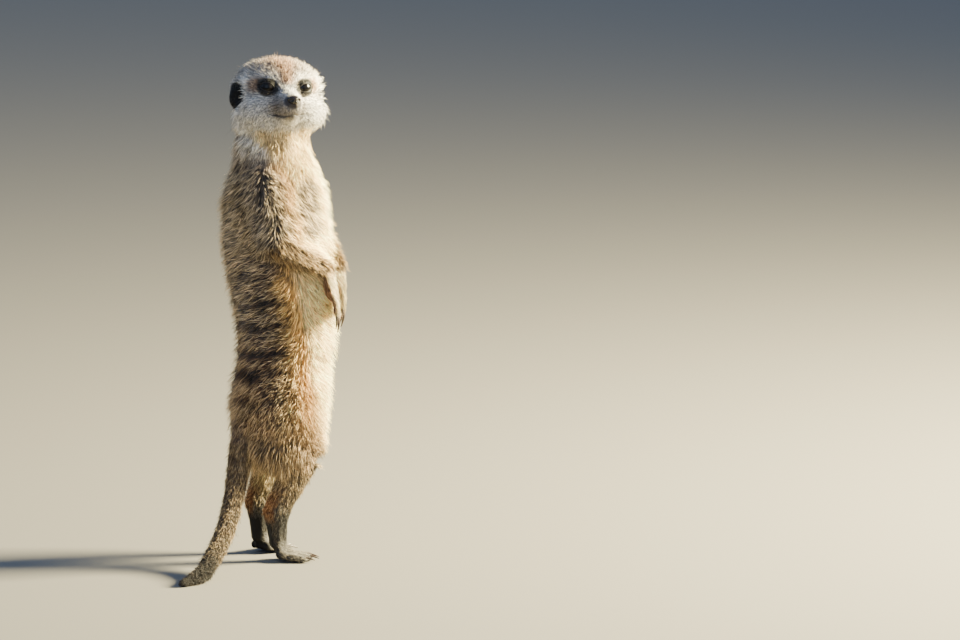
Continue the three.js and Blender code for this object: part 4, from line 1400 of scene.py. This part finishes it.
# Rows of whiskers on the right of the face: ahead, out and up from between the eyes, and how many.
WHISKER_ROWS = [
    ((19.0, 5.2, -12.6), (11.0, 8.4, -11.4), 6, 17.0),
    ((18.6, 5.2, -14.6), (9.5, 9.0, -13.6), 6, 20.0),
    ((17.5, 5.0, -16.6), (9.5, 8.8, -15.8), 5, 15.0),
    ((4.0, 8.0, 7.5), (-1.0, 13.0, 7.5), 4, 12.0),
    ((-8.0, 22.0, -16.0), (-11.0, 23.5, -19.0), 3, 14.0),
]


def make_whiskers(surface, normals, material):
    """Whiskers of lip, brow and cheek, each rooted on the nearest place of the skin."""
    rng = np.random.default_rng(SEED + 1)
    wanted, reach = [], []
    for sign in (-1, 1):
        for start, end, count, length in WHISKER_ROWS:
            for share in np.linspace(0, 1, count):
                at = np.array(start) * (1 - share) + np.array(end) * share + rng.normal(0, 0.35, 3)
                wanted.append(from_head(at * [1, sign, 1]))
                reach.append(length * (0.6 + 0.5 * share))
    nearest = nearest_of(surface.points, wanted)
    outward = normals[nearest]
    back = unit(-FORWARD * 0.75 + outward * 0.9 + UPWARDS * rng.normal(0.0, 0.16, (len(nearest), 1)))
    holder = mesh_from("whisker_roots", surface.points[nearest], np.empty((0, 3), int))
    layer = holder.data.attributes.new("way", "FLOAT_VECTOR", "POINT")
    layer.data.foreach_set("vector", back.astype(np.float32).ravel())
    carry(holder.data, "reach", np.array(reach) * MM)
    grow = holder.modifiers.new("whiskers", "NODES")
    grow.node_group = whisker_tree()
    values = {"Thickness": 0.0085, "Bend": 0.18, "Seed": SEED, "Material": material}
    for item in grow.node_group.interface.items_tree:
        if item.in_out == "INPUT" and item.name in values:
            grow[item.identifier] = values[item.name]
    return in_scene("whiskers", made_plain(holder))


def stage_and_light():
    floor_mesh = bpy.data.meshes.new("floor")
    floor_mesh.from_pydata([(-30, -30, 0), (30, -30, 0), (30, 30, 0), (-30, 30, 0)], [], [(0, 1, 2, 3)])
    floor = in_scene("floor", floor_mesh)
    material, _, _ = new_material("floor", Base_Color=(0.14, 0.13, 0.115, 1), Roughness=0.9)
    floor_mesh.materials.append(material)

    world = bpy.data.worlds.new("studio")
    bpy.context.scene.world = world
    world.use_nodes = True
    sky = world.node_tree.nodes["Background"]
    sky.inputs["Color"].default_value = (0.49, 0.67, 1.0, 1)
    sky.inputs["Strength"].default_value = 0.74
    aim = Vector((0, 0, 0.17))
    for name, place_at, size, power, colour in (
        ("key", (1.48, -0.28, 0.82), 0.5, 540, (1.0, 0.89, 0.52)),
        ("fill", (-1.3, -1.5, 1.0), 1.6, 11, (0.67, 0.8, 1.0)),
        ("front", (0.6, -1.7, 0.7), 1.0, 5, (1.0, 0.97, 0.93)),
    ):
        light = bpy.data.lights.new(name, "AREA")
        light.energy, light.size, light.color = power, size, colour
        lamp = in_scene(name, light)
        lamp.location = place_at
        lamp.rotation_euler = (aim - lamp.location).to_track_quat("-Z", "Y").to_euler()


# The camera looks along a line turned from +Y and lowered, at a point given along its own right and up.
LOOK_TURN, LOOK_DOWN = math.radians(22), math.radians(8)
LOOK_AT_RIGHT, LOOK_AT_UP = 141.24, 156.42
CAMERA_AWAY = 5000
CAMERA_LENS = 284.09


def set_camera():
    right = np.array([math.cos(LOOK_TURN), -math.sin(LOOK_TURN), 0])
    level = np.array([math.sin(LOOK_TURN), math.cos(LOOK_TURN), 0]) * math.cos(LOOK_DOWN)
    look = level - [0, 0, math.sin(LOOK_DOWN)]
    point = right * LOOK_AT_RIGHT + np.cross(right, look) * LOOK_AT_UP + SHIFT
    camera_data = bpy.data.cameras.new("camera")
    camera_data.sensor_width = 36
    camera_data.lens = CAMERA_LENS
    camera_data.clip_end = 200
    camera = in_scene("camera", camera_data)
    camera.location = Vector((point - look * CAMERA_AWAY) * MM)
    camera.rotation_euler = Vector(look).to_track_quat("-Z", "Y").to_euler()
    bpy.context.scene.camera = camera


# ------------------------------------------------------------------ putting it together

surface, node_numbers, normals = shaped_skin()
skin = mesh_from("skin", surface.points, surface.triangles)
shares = marking_shares(surface, node_numbers)
carry(skin.data, "tone", markings(surface.points, shares, normals) * SKIN_SHADE)
spots_on_map = unwrapped(skin)
skin.data.materials.append(skin_material())
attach(skin, "root")
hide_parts(*FLESH)

coat_finish = coat_material(coat_colour_group())
for piece, slot in make_coat(surface, node_numbers, shares, normals, spots_on_map, coat_finish):
    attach(piece, "root")

eye_finish = eye_material()
lid_finish = horn_material("lid", "#1c1412", "#0e0a09", 0.6, 900, 0.0001)
for side in EYES:
    eye = make_eye(side, eye_finish)
    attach(eye, "root")
    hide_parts(f"eye_{side}")
    lid = make_lid(side, lid_finish)
    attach(lid, "root")

nose = make_nose(horn_material("nose", "#1a1313", "#0c0909", 0.24, 1500, 0.00016))
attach(nose, "root")
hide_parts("nose")

whisker_finish, _, _ = new_material("whisker", Base_Color=(0.05, 0.04, 0.035, 1), Roughness=0.4)
whiskers = make_whiskers(surface, normals, whisker_finish)
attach(whiskers, "root")

claw_finish = horn_material("claw", "#4a3b30", "#1d1612", 0.35, 500, 0.00008)
for limb in (("hand", "right"), ("hand", "left"), ("foot", "right"), ("foot", "left")):
    claws, nodes = make_claws(limb, claw_finish)
    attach(claws, "root")
    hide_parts(*nodes)

stage_and_light()
set_camera()
